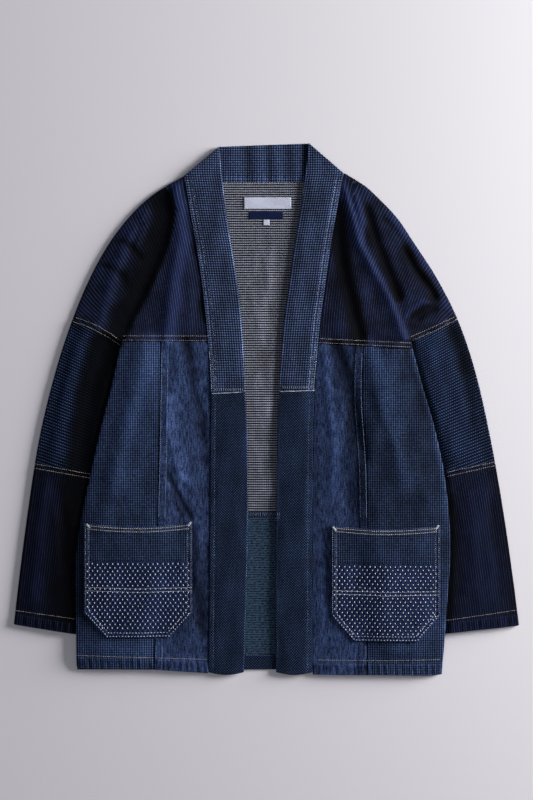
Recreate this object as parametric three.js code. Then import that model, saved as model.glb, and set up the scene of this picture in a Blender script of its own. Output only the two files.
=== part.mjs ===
// An open-fronted haori jacket laid flat on its back, its sleeves drawn down beside it.
// Each piece of cloth is a closed wall of its own, and a small seam gap parts it from its neighbours.
// Sizes are in millimetres. X runs across the garment, Y towards the collar and Z up.
// A place on the garment is given by x, from the centre line, and by drop, below the collar's top.

import * as THREE from 'three';

// Driving dimensions
const GARMENT_LENGTH = 799;
const CLOTH = 1.5;
const BAND_CLOTH = 2.8;
const COLLAR_CLOTH = 2.4;
const STRIP_CLOTH = 1;
const LABEL_CLOTH = 1;
const SEAM_GAP = 0.3;
const LAID_GAP = 0.5;

// The hollow between two layers, and how it closes over the last stretch before a folded edge
const HOLLOW = 2.2;
const EDGE_ROUND = 12;
const SLEEVE_HEIGHT = 2 * CLOTH + HOLLOW;

// The body lies over the inner part of each sleeve, and comes down to the floor beyond it
const LIFT = SLEEVE_HEIGHT + SEAM_GAP;
const LIFT_MARGIN = 14;
const LIFT_RUN = 50;
const ARMPIT_RUN = 22;
const ARMPIT_SPREAD = 30;
const CUFF_MARGIN = 14;
const CUFF_RUN = 32;

// Outer edge of the shoulders and sleeves
const OUTLINE = [
  { drop: 45, left: -119, right: 117.5 },
  { drop: 50, left: -125.2, right: 126 },
  { drop: 64, left: -150, right: 148 },
  { drop: 85, left: -180, right: 171 },
  { drop: 113, left: -208, right: 197 },
  { drop: 150, left: -236, right: 222 },
  { drop: 200, left: -264, right: 254.5 },
  { drop: 264, left: -291, right: 287 },
  { drop: 340, left: -316, right: 313 },
  { drop: 440, left: -340.5, right: 336 },
  { drop: 550, left: -358, right: 355.5 },
  { drop: 650, left: -371, right: 370 },
  { drop: 724, left: -379.5, right: 379.5 },
];

// Seam between the front and its band
const BAND_OUTER = [
  { drop: 45, left: -125, right: 116 },
  { drop: 110, left: -114, right: 104.5 },
  { drop: 160, left: -105, right: 96 },
  { drop: 215, left: -97, right: 88.5 },
  { drop: 264, left: -91.5, right: 81.5 },
  { drop: 330, left: -86, right: 75.5 },
  { drop: 373, left: -84, right: 72 },
  { drop: 460, left: -84.5, right: 70 },
  { drop: 600, left: -85.5, right: 69 },
  { drop: 797, left: -87, right: 69.5 },
];

// Free inner edge of the band
const BAND_INNER = [
  { drop: 0, left: -71, right: 64 },
  { drop: 55, left: -66.5, right: 57.5 },
  { drop: 110, left: -59.5, right: 49.5 },
  { drop: 160, left: -52, right: 41 },
  { drop: 215, left: -43, right: 34 },
  { drop: 264, left: -38, right: 26.5 },
  { drop: 373, left: -32, right: 19 },
  { drop: 460, left: -28.5, right: 16.5 },
  { drop: 600, left: -28.5, right: 14 },
  { drop: 797, left: -34, right: 14.5 },
];

// Folded side edge of the body
const BODY_SIDE = [
  { drop: 290, left: -216, right: 214.5 },
  { drop: 365, left: -232, right: 234 },
  { drop: 425, left: -247, right: 251.5 },
  { drop: 497, left: -263, right: 266.5 },
  { drop: 570, left: -278, right: 274.5 },
  { drop: 625, left: -285, right: 275.5 },
  { drop: 690, left: -285.5, right: 271 },
  { drop: 799, left: -285, right: 263.5 },
];

// Upright seam of each front, between its side panel and its centre panel
const FRONT_SEAM = [
  { drop: 290, left: -158, right: 145 },
  { drop: 380, left: -159, right: 143 },
  { drop: 475, left: -160.5, right: 149 },
  { drop: 570, left: -163, right: 151 },
  { drop: 799, left: -168, right: 150 },
];

// Seam between the yokes and the fronts, and the lower edge of the fronts
const YOKE_SEAM = [
  { x: -217, drop: 297.5 },
  { x: -88, drop: 297.5 },
  { x: 78, drop: 301 },
  { x: 217, drop: 310 },
];
const FRONT_HEM = [
  { x: -286, drop: 785 },
  { x: -272, drop: 789 },
  { x: -166, drop: 790 },
  { x: -88, drop: 795.5 },
  { x: 69, drop: 797.5 },
  { x: 251, drop: 799 },
  { x: 264, drop: 797 },
];

// Sleeves, a row for each section from the upper seam to the cuff. A section starts on the outer
// edge, at the drop called outer, and ends on the inner edge, most of which the body covers.
const SLEEVES = {
  left: [
    { outer: 264, innerX: -218, innerDrop: 296 },
    { outer: 314, innerX: -197, innerDrop: 350 },
    { outer: 368, innerX: -184, innerDrop: 404 },
    { outer: 425, innerX: -179, innerDrop: 458 },
    { outer: 484, innerX: -180, innerDrop: 515 },
    { outer: 545, innerX: -186, innerDrop: 574 },
    { outer: 606, innerX: -195, innerDrop: 633 },
    { outer: 665, innerX: -205, innerDrop: 691 },
    { outer: 722.5, innerX: -215, innerDrop: 748.5 },
  ],
  right: [
    { outer: 264, innerX: 217, innerDrop: 296 },
    { outer: 312, innerX: 197, innerDrop: 350 },
    { outer: 366, innerX: 184, innerDrop: 404 },
    { outer: 423, innerX: 178, innerDrop: 460 },
    { outer: 481, innerX: 178, innerDrop: 516 },
    { outer: 543, innerX: 184, innerDrop: 573 },
    { outer: 604, innerX: 191, innerDrop: 630 },
    { outer: 664, innerX: 197, innerDrop: 687 },
    { outer: 724, innerX: 203, innerDrop: 743.5 },
  ],
};
const SLEEVE_SEAM_ROW = 4;

// Largest folds of the yokes and fronts: a ridge where height is positive and a trough where it isn't
const BODY_FOLDS = [
  { fromX: -122, fromDrop: 78, toX: -212, toDrop: 282, width: 15, height: 2.4 },
  { fromX: -168, fromDrop: 108, toX: -232, toDrop: 250, width: 18, height: -1.1 },
  { fromX: -200, fromDrop: 150, toX: -268, toDrop: 240, width: 13, height: 1.2 },
  { fromX: 106, fromDrop: 70, toX: 211, toDrop: 286, width: 15, height: 2.4 },
  { fromX: 120, fromDrop: 90, toX: 137, toDrop: 262, width: 14, height: -1 },
  { fromX: 236, fromDrop: 172, toX: 208, toDrop: 276, width: 11, height: 1.6 },
  { fromX: 174, fromDrop: 116, toX: 214, toDrop: 216, width: 15, height: -1 },
  { fromX: 118, fromDrop: 312, toX: 138, toDrop: 456, width: 13, height: -1 },
  { fromX: -108, fromDrop: 308, toX: -110, toDrop: 400, width: 12, height: -0.9 },
  { fromX: -200, fromDrop: 330, toX: -216, toDrop: 450, width: 14, height: 0.9 },
  { fromX: -148, fromDrop: 504, toX: -117, toDrop: 560, width: 9, height: 1.1 },
  { fromX: 200, fromDrop: 326, toX: 226, toDrop: 452, width: 15, height: 0.9 },
];

// Folds of the upper side of the sleeves
const SLEEVE_FOLDS = [
  { fromX: -300, fromDrop: 330, toX: -258, toDrop: 372, width: 12, height: 0.9 },
  { fromX: -336, fromDrop: 560, toX: -318, toDrop: 690, width: 12, height: -0.8 },
  { fromX: 300, fromDrop: 330, toX: 262, toDrop: 392, width: 12, height: 0.9 },
  { fromX: 330, fromDrop: 540, toX: 322, toDrop: 680, width: 13, height: -0.8 },
];
const FOLD_END = 30;

// How finely each panel is divided, across by columns and down by rows
const STEPS = {
  yoke: { columns: 12, shoulderRows: 10, seamRows: 4 },
  sideFront: { columns: 11 },
  centreFront: { columns: 6 },
  front: { rows: 15 },
  collar: { columns: 4, rows: 16 },
  collarBack: { ends: 3, middle: 6, rows: 3 },
  band: { columns: 4, rows: 12 },
  pocket: { columns: 14, topRows: 3, patchRows: 3 },
  label: { columns: 6, rows: 1 },
  backUpper: { shoulderRows: 7, armpitRows: 4, bodyRows: 7 },
  backLower: { rows: 6 },
  sleeve: { flat: 5, round: 4, ringsPerRow: 2 },
};
const EDGE_CROWDING = 1.35;

// Collar and bands
const COLLAR_FOLD = {
  left: { outerDrop: 49.5, innerX: -70, innerDrop: 5 },
  right: { outerDrop: 45, innerX: 64, innerDrop: 0 },
};
const COLLAR_END_DROP = 373.5;
const COLLAR_ENDS_X = { left: -118, right: 112 };
const NECK_DROP = 58.5;
const BAND_END_DROP = 794;
const BAND_END_SAG = 4;

// Back of the body
const BACK_SEAM_DROP = 557;
const BACK_HEM_DROP = 790.5;
const BACK_INSET = 0.6;
const STRIP = { top: 553, bottom: 562 };
const HEM_STRIP = { top: 768, bottom: 790 };

// Pockets, with their lower corners cut off
const POCKETS = {
  left: { inner: -111, outer: -273, top: 570, cut: 704, bottom: 741, cutWidth: 34 },
  right: { inner: 97, outer: 260, top: 574, cut: 708, bottom: 747, cutWidth: 34 },
};
const POCKET_SPLIT = 57;

// Labels inside the neck
const LABELS = {
  label_main: { left: -33.5, right: 37, top: 81, bottom: 98.5, colour: 0xd7dcee },
  label_second: { left: -26, right: 25, top: 102, bottom: 114, colour: 0x141f40 },
  label_size: { left: -4.5, right: 4.5, top: 114.6, bottom: 123, colour: 0xe4e6ee },
};

const SIGN = { left: -1, right: 1 };
const NAVY = 0x1b2338;
const DARK_STRIPE = 0x171d2e;
const GRID = 0x2c3852;
const DENIM = 0x2c3a5b;
const WAFFLE = 0x2f3c58;
const TWILL = 0x1c2740;
const STRIPE_INSIDE = 0x50545f;
const TEAL = 0x263a4a;
const SASHIKO = 0x2f3a55;
const MID_SLEEVE = 0x1c2740;
const OVERLOCK = 0x2a3146;
const ROUGHNESS = 0.9;

// Shape helpers

function fade(t) {
  return 1 - THREE.MathUtils.smoothstep(t, 0, 1);
}

function lerp(from, to, t) {
  return THREE.MathUtils.lerp(from, to, t);
}

// The row of a table before a place, with the share of the way to the next row
function rowBefore(rows, key, at) {
  const last = rows.length - 1;
  let i = 0;
  while (i < last - 1 && at > rows[i + 1][key]) {
    i += 1;
  }
  const step = rows[i + 1][key] - rows[i][key];
  return { i, step, t: THREE.MathUtils.clamp((at - rows[i][key]) / step, 0, 1) };
}

// A straight-edged line through one column of a table, as a function of the column called key
function straightLine(rows, key, column) {
  return (at) => {
    const { i, t } = rowBefore(rows, key, at);
    return lerp(rows[i][column], rows[i + 1][column], t);
  };
}

// The same as a smooth line, which takes its slope at each row from the rows on either side
function smoothLine(rows, key, column) {
  const slope = (i) => {
    const before = rows[Math.max(i - 1, 0)];
    const after = rows[Math.min(i + 1, rows.length - 1)];
    return (after[column] - before[column]) / (after[key] - before[key]);
  };
  return (at) => {
    const { i, step, t } = rowBefore(rows, key, at);
    const ease = t * t * (3 - 2 * t);
    const startPull = t * (1 - t) * (1 - t) * step * slope(i);
    const endPull = t * t * (1 - t) * step * slope(i + 1);
    return lerp(rows[i][column], rows[i + 1][column], ease) + startPull - endPull;
  };
}

function bothSides(rows, key) {
  return { left: smoothLine(rows, key, 'left'), right: smoothLine(rows, key, 'right') };
}

const outline = bothSides(OUTLINE, 'drop');
const bandOuter = bothSides(BAND_OUTER, 'drop');
const bandInner = bothSides(BAND_INNER, 'drop');
const bodySide = bothSides(BODY_SIDE, 'drop');
const frontSeam = bothSides(FRONT_SEAM, 'drop');
const yokeSeam = straightLine(YOKE_SEAM, 'x', 'drop');
const frontHem = straightLine(FRONT_HEM, 'x', 'drop');
const sleeveInner = {
  left: smoothLine(SLEEVES.left, 'innerDrop', 'innerX'),
  right: smoothLine(SLEEVES.right, 'innerDrop', 'innerX'),
};

// Heights

// How far the body is raised over the hidden part of the sleeves
function sleeveLift(x, drop) {
  const side = x < 0 ? 'left' : 'right';
  const armpit = SLEEVES[side][0];
  const cuff = SLEEVES[side].at(-1);
  const inward = SIGN[side] * (sleeveInner[side](drop) - x) - LIFT_MARGIN;
  const above = armpit.innerDrop - drop;
  const outward = above > 0 ? SIGN[side] * (x - armpit.innerX) : 0;
  const below = drop - cuff.innerDrop - CUFF_MARGIN;
  const along = fade(above / ARMPIT_RUN) * fade(outward / ARMPIT_SPREAD) * fade(below / CUFF_RUN);
  return LIFT * fade(inward / LIFT_RUN) * along;
}

function foldHeight(fold, x, drop) {
  const runX = fold.toX - fold.fromX;
  const runDrop = fold.toDrop - fold.fromDrop;
  const length = Math.hypot(runX, runDrop);
  const along = ((x - fold.fromX) * runX + (drop - fold.fromDrop) * runDrop) / length;
  const across = ((x - fold.fromX) * runDrop - (drop - fold.fromDrop) * runX) / length;
  const beyond = Math.max(-along, along - length, 0);
  return fold.height * Math.exp(-((across / fold.width) ** 2)) * fade(beyond / FOLD_END);
}

function foldRelief(folds, x, drop) {
  return folds.reduce((sum, fold) => sum + foldHeight(fold, x, drop), 0);
}

// The hollow under the upper layer, closing towards a folded edge a given distance away
function hollowAt(distance) {
  const t = THREE.MathUtils.clamp(distance / EDGE_ROUND, 0, 1);
  return lerp(SEAM_GAP, HOLLOW, Math.sqrt(1 - (1 - t) ** 2));
}

function edgeRelief(distance) {
  return THREE.MathUtils.smoothstep(distance, 0, 2 * EDGE_ROUND);
}

// Distance in from the folded edge of the shoulders, the sleeves or the body
function edgeDistance(x, drop) {
  const side = x < 0 ? 'left' : 'right';
  const edge = drop < SLEEVES[side][0].innerDrop ? outline[side](drop) : bodySide[side](drop);
  return Math.max(SIGN[side] * (edge - x), 0);
}

function backBottom(x, drop) {
  return sleeveLift(x, drop);
}

function backTop(x, drop) {
  return sleeveLift(x, drop) + CLOTH;
}

function frontBottom(x, drop) {
  const distance = edgeDistance(x, drop);
  const relief = foldRelief(BODY_FOLDS, x, drop) * edgeRelief(distance);
  return backTop(x, drop) + hollowAt(distance) + relief;
}

function frontTop(x, drop) {
  return frontBottom(x, drop) + CLOTH;
}

// Meshes

function heightY(drop) {
  return GARMENT_LENGTH / 2 - drop;
}

function namedMesh(name, points, faces, colour) {
  const geometry = new THREE.BufferGeometry();
  geometry.setAttribute('position', new THREE.Float32BufferAttribute(points.flat(), 3));
  geometry.setIndex(faces.flat());
  geometry.computeVertexNormals();
  const look = { color: colour, roughness: ROUGHNESS, metalness: 0 };
  const material = new THREE.MeshStandardMaterial(look);
  const mesh = new THREE.Mesh(geometry, material);
  mesh.name = name;
  return mesh;
}

function evenSteps(count) {
  return Array.from({ length: count + 1 }, (unused, i) => i / count);
}

// Steps that are shorter near the start, for a panel whose first column is a folded edge
function gradedSteps(count) {
  return evenSteps(count).map((t) => t ** EDGE_CROWDING);
}

// A closed wall of cloth. place gives x and drop for u and v, each from 0 to 1; bottom gives the
// height of its underside there.
function clothSheet(name, colour, { us, vs, place, bottom, thickness = CLOTH }) {
  const points = [];
  for (const v of vs) {
    for (const u of us) {
      const { x, drop } = place(u, v);
      const low = bottom(x, drop);
      points.push([x, heightY(drop), low], [x, heightY(drop), low + thickness]);
    }
  }
  const low = (i, j) => 2 * (j * us.length + i);
  const high = (i, j) => low(i, j) + 1;
  const first = place(us[0], vs[0]);
  const acrossEnd = place(us.at(-1), vs[0]);
  const downEnd = place(us[0], vs.at(-1));
  const turn = (acrossEnd.x - first.x) * (downEnd.drop - first.drop)
    - (acrossEnd.drop - first.drop) * (downEnd.x - first.x);
  const faces = [];
  const quad = (a, b, c, d) => {
    if (turn > 0) {
      faces.push([a, c, b], [a, d, c]);
    } else {
      faces.push([a, b, c], [a, c, d]);
    }
  };
  const lastU = us.length - 1;
  const lastV = vs.length - 1;
  for (let j = 0; j < lastV; j += 1) {
    for (let i = 0; i < lastU; i += 1) {
      quad(high(i, j), high(i + 1, j), high(i + 1, j + 1), high(i, j + 1));
      quad(low(i, j), low(i, j + 1), low(i + 1, j + 1), low(i + 1, j));
    }
  }
  for (let i = 0; i < lastU; i += 1) {
    quad(low(i, 0), low(i + 1, 0), high(i + 1, 0), high(i, 0));
    quad(low(i + 1, lastV), low(i, lastV), high(i, lastV), high(i + 1, lastV));
  }
  for (let j = 0; j < lastV; j += 1) {
    quad(low(0, j + 1), low(0, j), high(0, j), high(0, j + 1));
    quad(low(lastU, j), low(lastU, j + 1), high(lastU, j + 1), high(lastU, j));
  }
  return namedMesh(name, points, faces, colour);
}

// A label that lies on the inside of the back
function makeLabel(name, { left, right, top, bottom, colour }) {
  return clothSheet(name, colour, {
    us: evenSteps(STEPS.label.columns),
    vs: evenSteps(STEPS.label.rows),
    place: (u, v) => ({ x: lerp(left, right, u), drop: lerp(top, bottom, v) }),
    bottom: (x, drop) => backTop(x, drop) + SEAM_GAP,
    thickness: LABEL_CLOTH,
  });
}

// Back

function backEdge(side, drop) {
  const armpit = SLEEVES[side][0];
  const seamStart = armpit.outer - SEAM_GAP;
  const seamEnd = armpit.innerDrop - SEAM_GAP;
  if (drop <= seamStart) {
    return outline[side](drop) - SIGN[side] * BACK_INSET;
  }
  if (drop <= seamEnd) {
    const start = outline[side](seamStart) - SIGN[side] * BACK_INSET;
    return lerp(start, bodySide[side](seamEnd), (drop - seamStart) / (seamEnd - seamStart));
  }
  return bodySide[side](drop) - SIGN[side] * BACK_INSET;
}

// Columns that are closer together beside both edges, where the back climbs over the sleeves
const CLIMB_SHARE = 0.3;
const CLIMB_COLUMNS = 11;
const MIDDLE_COLUMNS = 6;

function backSteps() {
  const climb = evenSteps(CLIMB_COLUMNS).map((t) => t * CLIMB_SHARE);
  const middle = evenSteps(MIDDLE_COLUMNS).slice(1, -1).map((t) => lerp(CLIMB_SHARE, 1 - CLIMB_SHARE, t));
  return [...climb, ...middle, ...climb.map((u) => 1 - u).reverse()];
}

// Rows that are closer together at the end, where the hem comes down to the floor
const HEM_SHARE = 0.1;
const HEM_ROWS = 3;

function rowsToHem(count, share = HEM_SHARE) {
  const body = evenSteps(count).map((t) => t * (1 - share));
  const hem = evenSteps(HEM_ROWS).slice(1).map((t) => lerp(1 - share, 1, t));
  return [...body, ...hem];
}

function makeBackUpper() {
  const { shoulderRows, armpitRows, bodyRows } = STEPS.backUpper;
  const armpitStart = SLEEVES.left[0].outer - SEAM_GAP;
  const armpitEnd = SLEEVES.left[0].innerDrop - SEAM_GAP;
  const drops = [
    ...evenSteps(shoulderRows).slice(0, -1).map((t) => lerp(NECK_DROP, armpitStart, t)),
    ...evenSteps(armpitRows).slice(0, -1).map((t) => lerp(armpitStart, armpitEnd, t)),
    ...evenSteps(bodyRows).map((t) => lerp(armpitEnd, BACK_SEAM_DROP - SEAM_GAP / 2, t)),
  ];
  return clothSheet('back_upper', STRIPE_INSIDE, {
    us: backSteps(),
    vs: drops,
    place: (u, drop) => ({ x: lerp(backEdge('left', drop), backEdge('right', drop), u), drop }),
    bottom: backBottom,
  });
}

function makeBackLower() {
  return clothSheet('back_lower', TEAL, {
    us: backSteps(),
    vs: rowsToHem(STEPS.backLower.rows, 2 * HEM_SHARE),
    place: (u, v) => {
      const drop = lerp(BACK_SEAM_DROP + SEAM_GAP / 2, BACK_HEM_DROP, v);
      return { x: lerp(backEdge('left', drop), backEdge('right', drop), u), drop };
    },
    bottom: backBottom,
  });
}

// A strip sewn across the inside of the back, made from the columns of the back itself
function backStrip(name, colour, { top, bottom }) {
  return clothSheet(name, colour, {
    us: backSteps().slice(1, -1),
    vs: evenSteps(2),
    place: (u, v) => {
      const drop = lerp(top, bottom, v);
      return { x: lerp(backEdge('left', drop), backEdge('right', drop), u), drop };
    },
    bottom: (x, drop) => backTop(x, drop) + LAID_GAP,
    thickness: STRIP_CLOTH,
  });
}

// Yokes, each cut in one with the front of its upper sleeve

const YOKE_CORNER = 0.7;
const YOKE_ARMPIT = 0.94;

// Outer edge of a yoke: down the shoulder, along the sleeve seam to the armpit, then to its hem seam
function yokeEdge(side, v) {
  const top = COLLAR_FOLD[side].outerDrop + SEAM_GAP;
  const armpit = SLEEVES[side][0];
  const seamDrop = armpit.outer - SEAM_GAP;
  if (v <= YOKE_CORNER) {
    const drop = lerp(top, seamDrop, v / YOKE_CORNER);
    return { x: outline[side](drop), drop };
  }
  const armpitDrop = armpit.innerDrop - SEAM_GAP;
  if (v <= YOKE_ARMPIT) {
    const t = (v - YOKE_CORNER) / (YOKE_ARMPIT - YOKE_CORNER);
    return { x: lerp(outline[side](seamDrop), armpit.innerX, t), drop: lerp(seamDrop, armpitDrop, t) };
  }
  const t = (v - YOKE_ARMPIT) / (1 - YOKE_ARMPIT);
  const endDrop = yokeSeam(armpit.innerX) - SEAM_GAP / 2;
  return { x: lerp(armpit.innerX, bodySide[side](endDrop), t), drop: lerp(armpitDrop, endDrop, t) };
}

function makeYoke(side) {
  const top = COLLAR_FOLD[side].outerDrop + SEAM_GAP;
  const innerX = (drop) => bandOuter[side](drop) + SIGN[side] * SEAM_GAP / 2;
  const innerEnd = yokeSeam(innerX(YOKE_SEAM[1].drop)) - SEAM_GAP / 2;
  const place = (u, v) => {
    const edge = yokeEdge(side, v);
    const innerDrop = lerp(top, innerEnd, v);
    return { x: lerp(edge.x, innerX(innerDrop), u), drop: lerp(edge.drop, innerDrop, u) };
  };
  const { columns, shoulderRows, seamRows } = STEPS.yoke;
  const shoulder = evenSteps(shoulderRows).map((t) => t * YOKE_CORNER);
  const seam = evenSteps(seamRows).slice(1).map((t) => lerp(YOKE_CORNER, YOKE_ARMPIT, t));
  return clothSheet(`yoke_${side}`, NAVY, {
    us: gradedSteps(columns),
    vs: [...shoulder, ...seam, 1],
    place,
    bottom: frontBottom,
  });
}

// Fronts below the yokes

function frontPanel(name, colour, side, outerLine, innerLine, us) {
  const inset = SIGN[side] * SEAM_GAP / 2;
  const start = SLEEVES[side][0].innerDrop;
  const seamAt = (line) => yokeSeam(line(start));
  const place = (u, v) => {
    const first = lerp(seamAt(outerLine), seamAt(innerLine), u);
    const nominal = lerp(first, FRONT_HEM.at(-2).drop, v);
    const x = lerp(outerLine(nominal) - inset, innerLine(nominal) + inset, u);
    const top = yokeSeam(x) + SEAM_GAP / 2;
    return { x, drop: lerp(top, frontHem(x), v) };
  };
  return clothSheet(name, colour, { us, vs: rowsToHem(STEPS.front.rows), place, bottom: frontBottom });
}

function makeSideFront(side) {
  const us = gradedSteps(STEPS.sideFront.columns);
  return frontPanel(`side_front_${side}`, GRID, side, bodySide[side], frontSeam[side], us);
}

function makeCentreFront(side) {
  const us = evenSteps(STEPS.centreFront.columns);
  return frontPanel(`centre_front_${side}`, DENIM, side, frontSeam[side], bandOuter[side], us);
}

// Collar and bands

function makeCollar(side) {
  const fold = COLLAR_FOLD[side];
  const inset = SIGN[side] * SEAM_GAP / 2;
  const place = (u, v) => {
    const outerDrop = lerp(fold.outerDrop, COLLAR_END_DROP - SEAM_GAP / 2, v);
    const innerDrop = lerp(fold.innerDrop, COLLAR_END_DROP - SEAM_GAP / 2, v);
    const outerX = bandOuter[side](outerDrop) - inset;
    const innerX = bandInner[side](innerDrop);
    return { x: lerp(outerX, innerX, u), drop: lerp(outerDrop, innerDrop, u) };
  };
  const bottom = (x, drop) => {
    const overCollar = COLLAR_CLOTH + SEAM_GAP;
    const rise = THREE.MathUtils.smoothstep(drop, 0, NECK_DROP);
    return lerp(overCollar, CLOTH + HOLLOW, rise);
  };
  return clothSheet(`collar_${side}`, WAFFLE, {
    us: evenSteps(STEPS.collar.columns),
    vs: evenSteps(STEPS.collar.rows),
    place,
    bottom,
    thickness: BAND_CLOTH,
  });
}

function makeBand(side) {
  const inset = SIGN[side] * SEAM_GAP / 2;
  const place = (u, v) => {
    const end = BAND_END_DROP + BAND_END_SAG * Math.sin(Math.PI * u);
    const drop = lerp(COLLAR_END_DROP + SEAM_GAP / 2, end, v);
    return { x: lerp(bandOuter[side](drop) - inset, bandInner[side](drop), u), drop };
  };
  return clothSheet(`band_${side}`, TWILL, {
    us: evenSteps(STEPS.band.columns),
    vs: evenSteps(STEPS.band.rows),
    place,
    bottom: () => CLOTH + HOLLOW,
    thickness: BAND_CLOTH,
  });
}

function makeCollarBack() {
  const { left, right } = COLLAR_FOLD;
  const topDrop = (x) => {
    if (x < left.innerX) {
      const t = (x - left.innerX) / (bandOuter.left(left.outerDrop) - left.innerX);
      return lerp(left.innerDrop, left.outerDrop, t);
    }
    if (x > right.innerX) {
      const t = (x - right.innerX) / (bandOuter.right(right.outerDrop) - right.innerX);
      return lerp(right.innerDrop, right.outerDrop, t);
    }
    return lerp(left.innerDrop, right.innerDrop, (x - left.innerX) / (right.innerX - left.innerX));
  };
  const { ends, middle, rows } = STEPS.collarBack;
  const xs = [
    ...evenSteps(ends).slice(0, -1).map((t) => lerp(COLLAR_ENDS_X.left, left.innerX, t)),
    ...evenSteps(middle).slice(0, -1).map((t) => lerp(left.innerX, right.innerX, t)),
    ...evenSteps(ends).map((t) => lerp(right.innerX, COLLAR_ENDS_X.right, t)),
  ];
  return clothSheet('collar_back', WAFFLE, {
    us: xs,
    vs: evenSteps(rows),
    place: (x, v) => ({ x, drop: lerp(topDrop(x), NECK_DROP - SEAM_GAP, v) }),
    bottom: () => 0,
    thickness: COLLAR_CLOTH,
  });
}

// Sleeves, each length a flattened tube that is open at both ends

// One section as pairs of points, outside and inside the wall, once round from the outer edge
function sleeveRing(start, end) {
  const width = Math.hypot(end.x - start.x, end.drop - start.drop);
  const radius = SLEEVE_HEIGHT / 2;
  const { flat, round } = STEPS.sleeve;
  const ring = [];
  const add = (along, spread, height, rise) => {
    const t = along / width;
    const x = lerp(start.x, end.x, t);
    const drop = lerp(start.drop, end.drop, t);
    const relief = rise * foldRelief(SLEEVE_FOLDS, x, drop) * edgeRelief(along);
    const wall = (reach) => {
      const shift = (spread * (radius - reach)) / width;
      const px = x + (end.x - start.x) * shift;
      const pd = drop + (end.drop - start.drop) * shift;
      return [px, heightY(pd), radius + height * (radius - reach) + relief];
    };
    ring.push([wall(0), wall(CLOTH)]);
  };
  for (let i = 0; i <= flat; i += 1) {
    add(lerp(radius, width - radius, i / flat), 0, -1, 0);
  }
  for (let i = 1; i < round; i += 1) {
    const angle = Math.PI * (i / round - 0.5);
    add(width - radius, Math.cos(angle), Math.sin(angle), 0);
  }
  for (let i = flat; i >= 0; i -= 1) {
    add(lerp(radius, width - radius, i / flat), 0, 1, 1);
  }
  for (let i = round - 1; i > 0; i -= 1) {
    const angle = Math.PI * (i / round - 0.5);
    add(radius, -Math.cos(angle), Math.sin(angle), 0);
  }
  return ring;
}

function makeSleeve(name, colour, side, fromRow, toRow) {
  const rows = SLEEVES[side].map((row, index) => ({ ...row, index }));
  const outerDrop = smoothLine(rows, 'index', 'outer');
  const innerX = smoothLine(rows, 'index', 'innerX');
  const innerDrop = smoothLine(rows, 'index', 'innerDrop');
  const steps = STEPS.sleeve.ringsPerRow * (toRow - fromRow);
  const rings = evenSteps(steps).map((t) => {
    const index = lerp(fromRow, toRow, t);
    const nudge = lerp(SEAM_GAP / 2, -SEAM_GAP / 2, t);
    const drop = outerDrop(index) + nudge;
    const start = { x: outline[side](drop), drop };
    return sleeveRing(start, { x: innerX(index), drop: innerDrop(index) + nudge });
  });
  const count = rings[0].length;
  const points = rings.flat(2);
  const at = (ring, i, wall) => 2 * (ring * count + (i % count)) + wall;
  const faces = [];
  const quad = (a, b, c, d) => {
    if (side === 'right') {
      faces.push([a, b, c], [a, c, d]);
    } else {
      faces.push([a, c, b], [a, d, c]);
    }
  };
  for (let ring = 0; ring < steps; ring += 1) {
    for (let i = 0; i < count; i += 1) {
      quad(at(ring, i, 0), at(ring + 1, i, 0), at(ring + 1, i + 1, 0), at(ring, i + 1, 0));
      quad(at(ring, i, 1), at(ring, i + 1, 1), at(ring + 1, i + 1, 1), at(ring + 1, i, 1));
    }
  }
  for (let i = 0; i < count; i += 1) {
    quad(at(0, i, 0), at(0, i + 1, 0), at(0, i + 1, 1), at(0, i, 1));
    quad(at(steps, i, 0), at(steps, i, 1), at(steps, i + 1, 1), at(steps, i + 1, 0));
  }
  return namedMesh(name, points, faces, colour);
}

// Pockets, each of an upper piece and a stitched lower piece

function makePocketPiece(name, colour, side, top, bottom, rows) {
  const pocket = POCKETS[side];
  const place = (u, v) => {
    const drop = lerp(top, bottom, v);
    const cut = Math.max(drop - pocket.cut, 0) / (pocket.bottom - pocket.cut) * pocket.cutWidth;
    const outer = pocket.outer - SIGN[side] * cut;
    const inner = pocket.inner + SIGN[side] * cut;
    return { x: lerp(outer, inner, u), drop };
  };
  return clothSheet(name, colour, {
    us: evenSteps(STEPS.pocket.columns),
    vs: rows,
    place,
    bottom: (x, drop) => frontTop(x, drop) + LAID_GAP,
  });
}

function makePocket(side) {
  const pocket = POCKETS[side];
  const split = pocket.top + POCKET_SPLIT;
  const height = pocket.bottom - split;
  const cutAt = (pocket.cut - split) / height;
  const { topRows, patchRows } = STEPS.pocket;
  const topSteps = evenSteps(topRows);
  const patchSteps = [...evenSteps(patchRows).map((t) => t * cutAt), (cutAt + 1) / 2, 1];
  const splitTop = split - SEAM_GAP / 2;
  const splitBottom = split + SEAM_GAP / 2;
  return [
    makePocketPiece(`pocket_top_${side}`, GRID, side, pocket.top, splitTop, topSteps),
    makePocketPiece(`pocket_patch_${side}`, SASHIKO, side, splitBottom, pocket.bottom, patchSteps),
  ];
}

// Assembly

const haori = new THREE.Group();
haori.add(makeBackUpper(), makeBackLower(), makeCollarBack());
haori.add(backStrip('back_seam_allowance', OVERLOCK, STRIP));
haori.add(backStrip('back_hem', TWILL, HEM_STRIP));
for (const side of ['left', 'right']) {
  const lastRow = SLEEVES[side].length - 1;
  haori.add(makeYoke(side), makeSideFront(side), makeCentreFront(side));
  haori.add(makeCollar(side), makeBand(side), ...makePocket(side));
  haori.add(makeSleeve(`sleeve_mid_${side}`, MID_SLEEVE, side, 0, SLEEVE_SEAM_ROW));
  haori.add(makeSleeve(`sleeve_lower_${side}`, DARK_STRIPE, side, SLEEVE_SEAM_ROW, lastRow));
}
for (const [name, label] of Object.entries(LABELS)) {
  haori.add(makeLabel(name, label));
}

export default haori;
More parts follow.
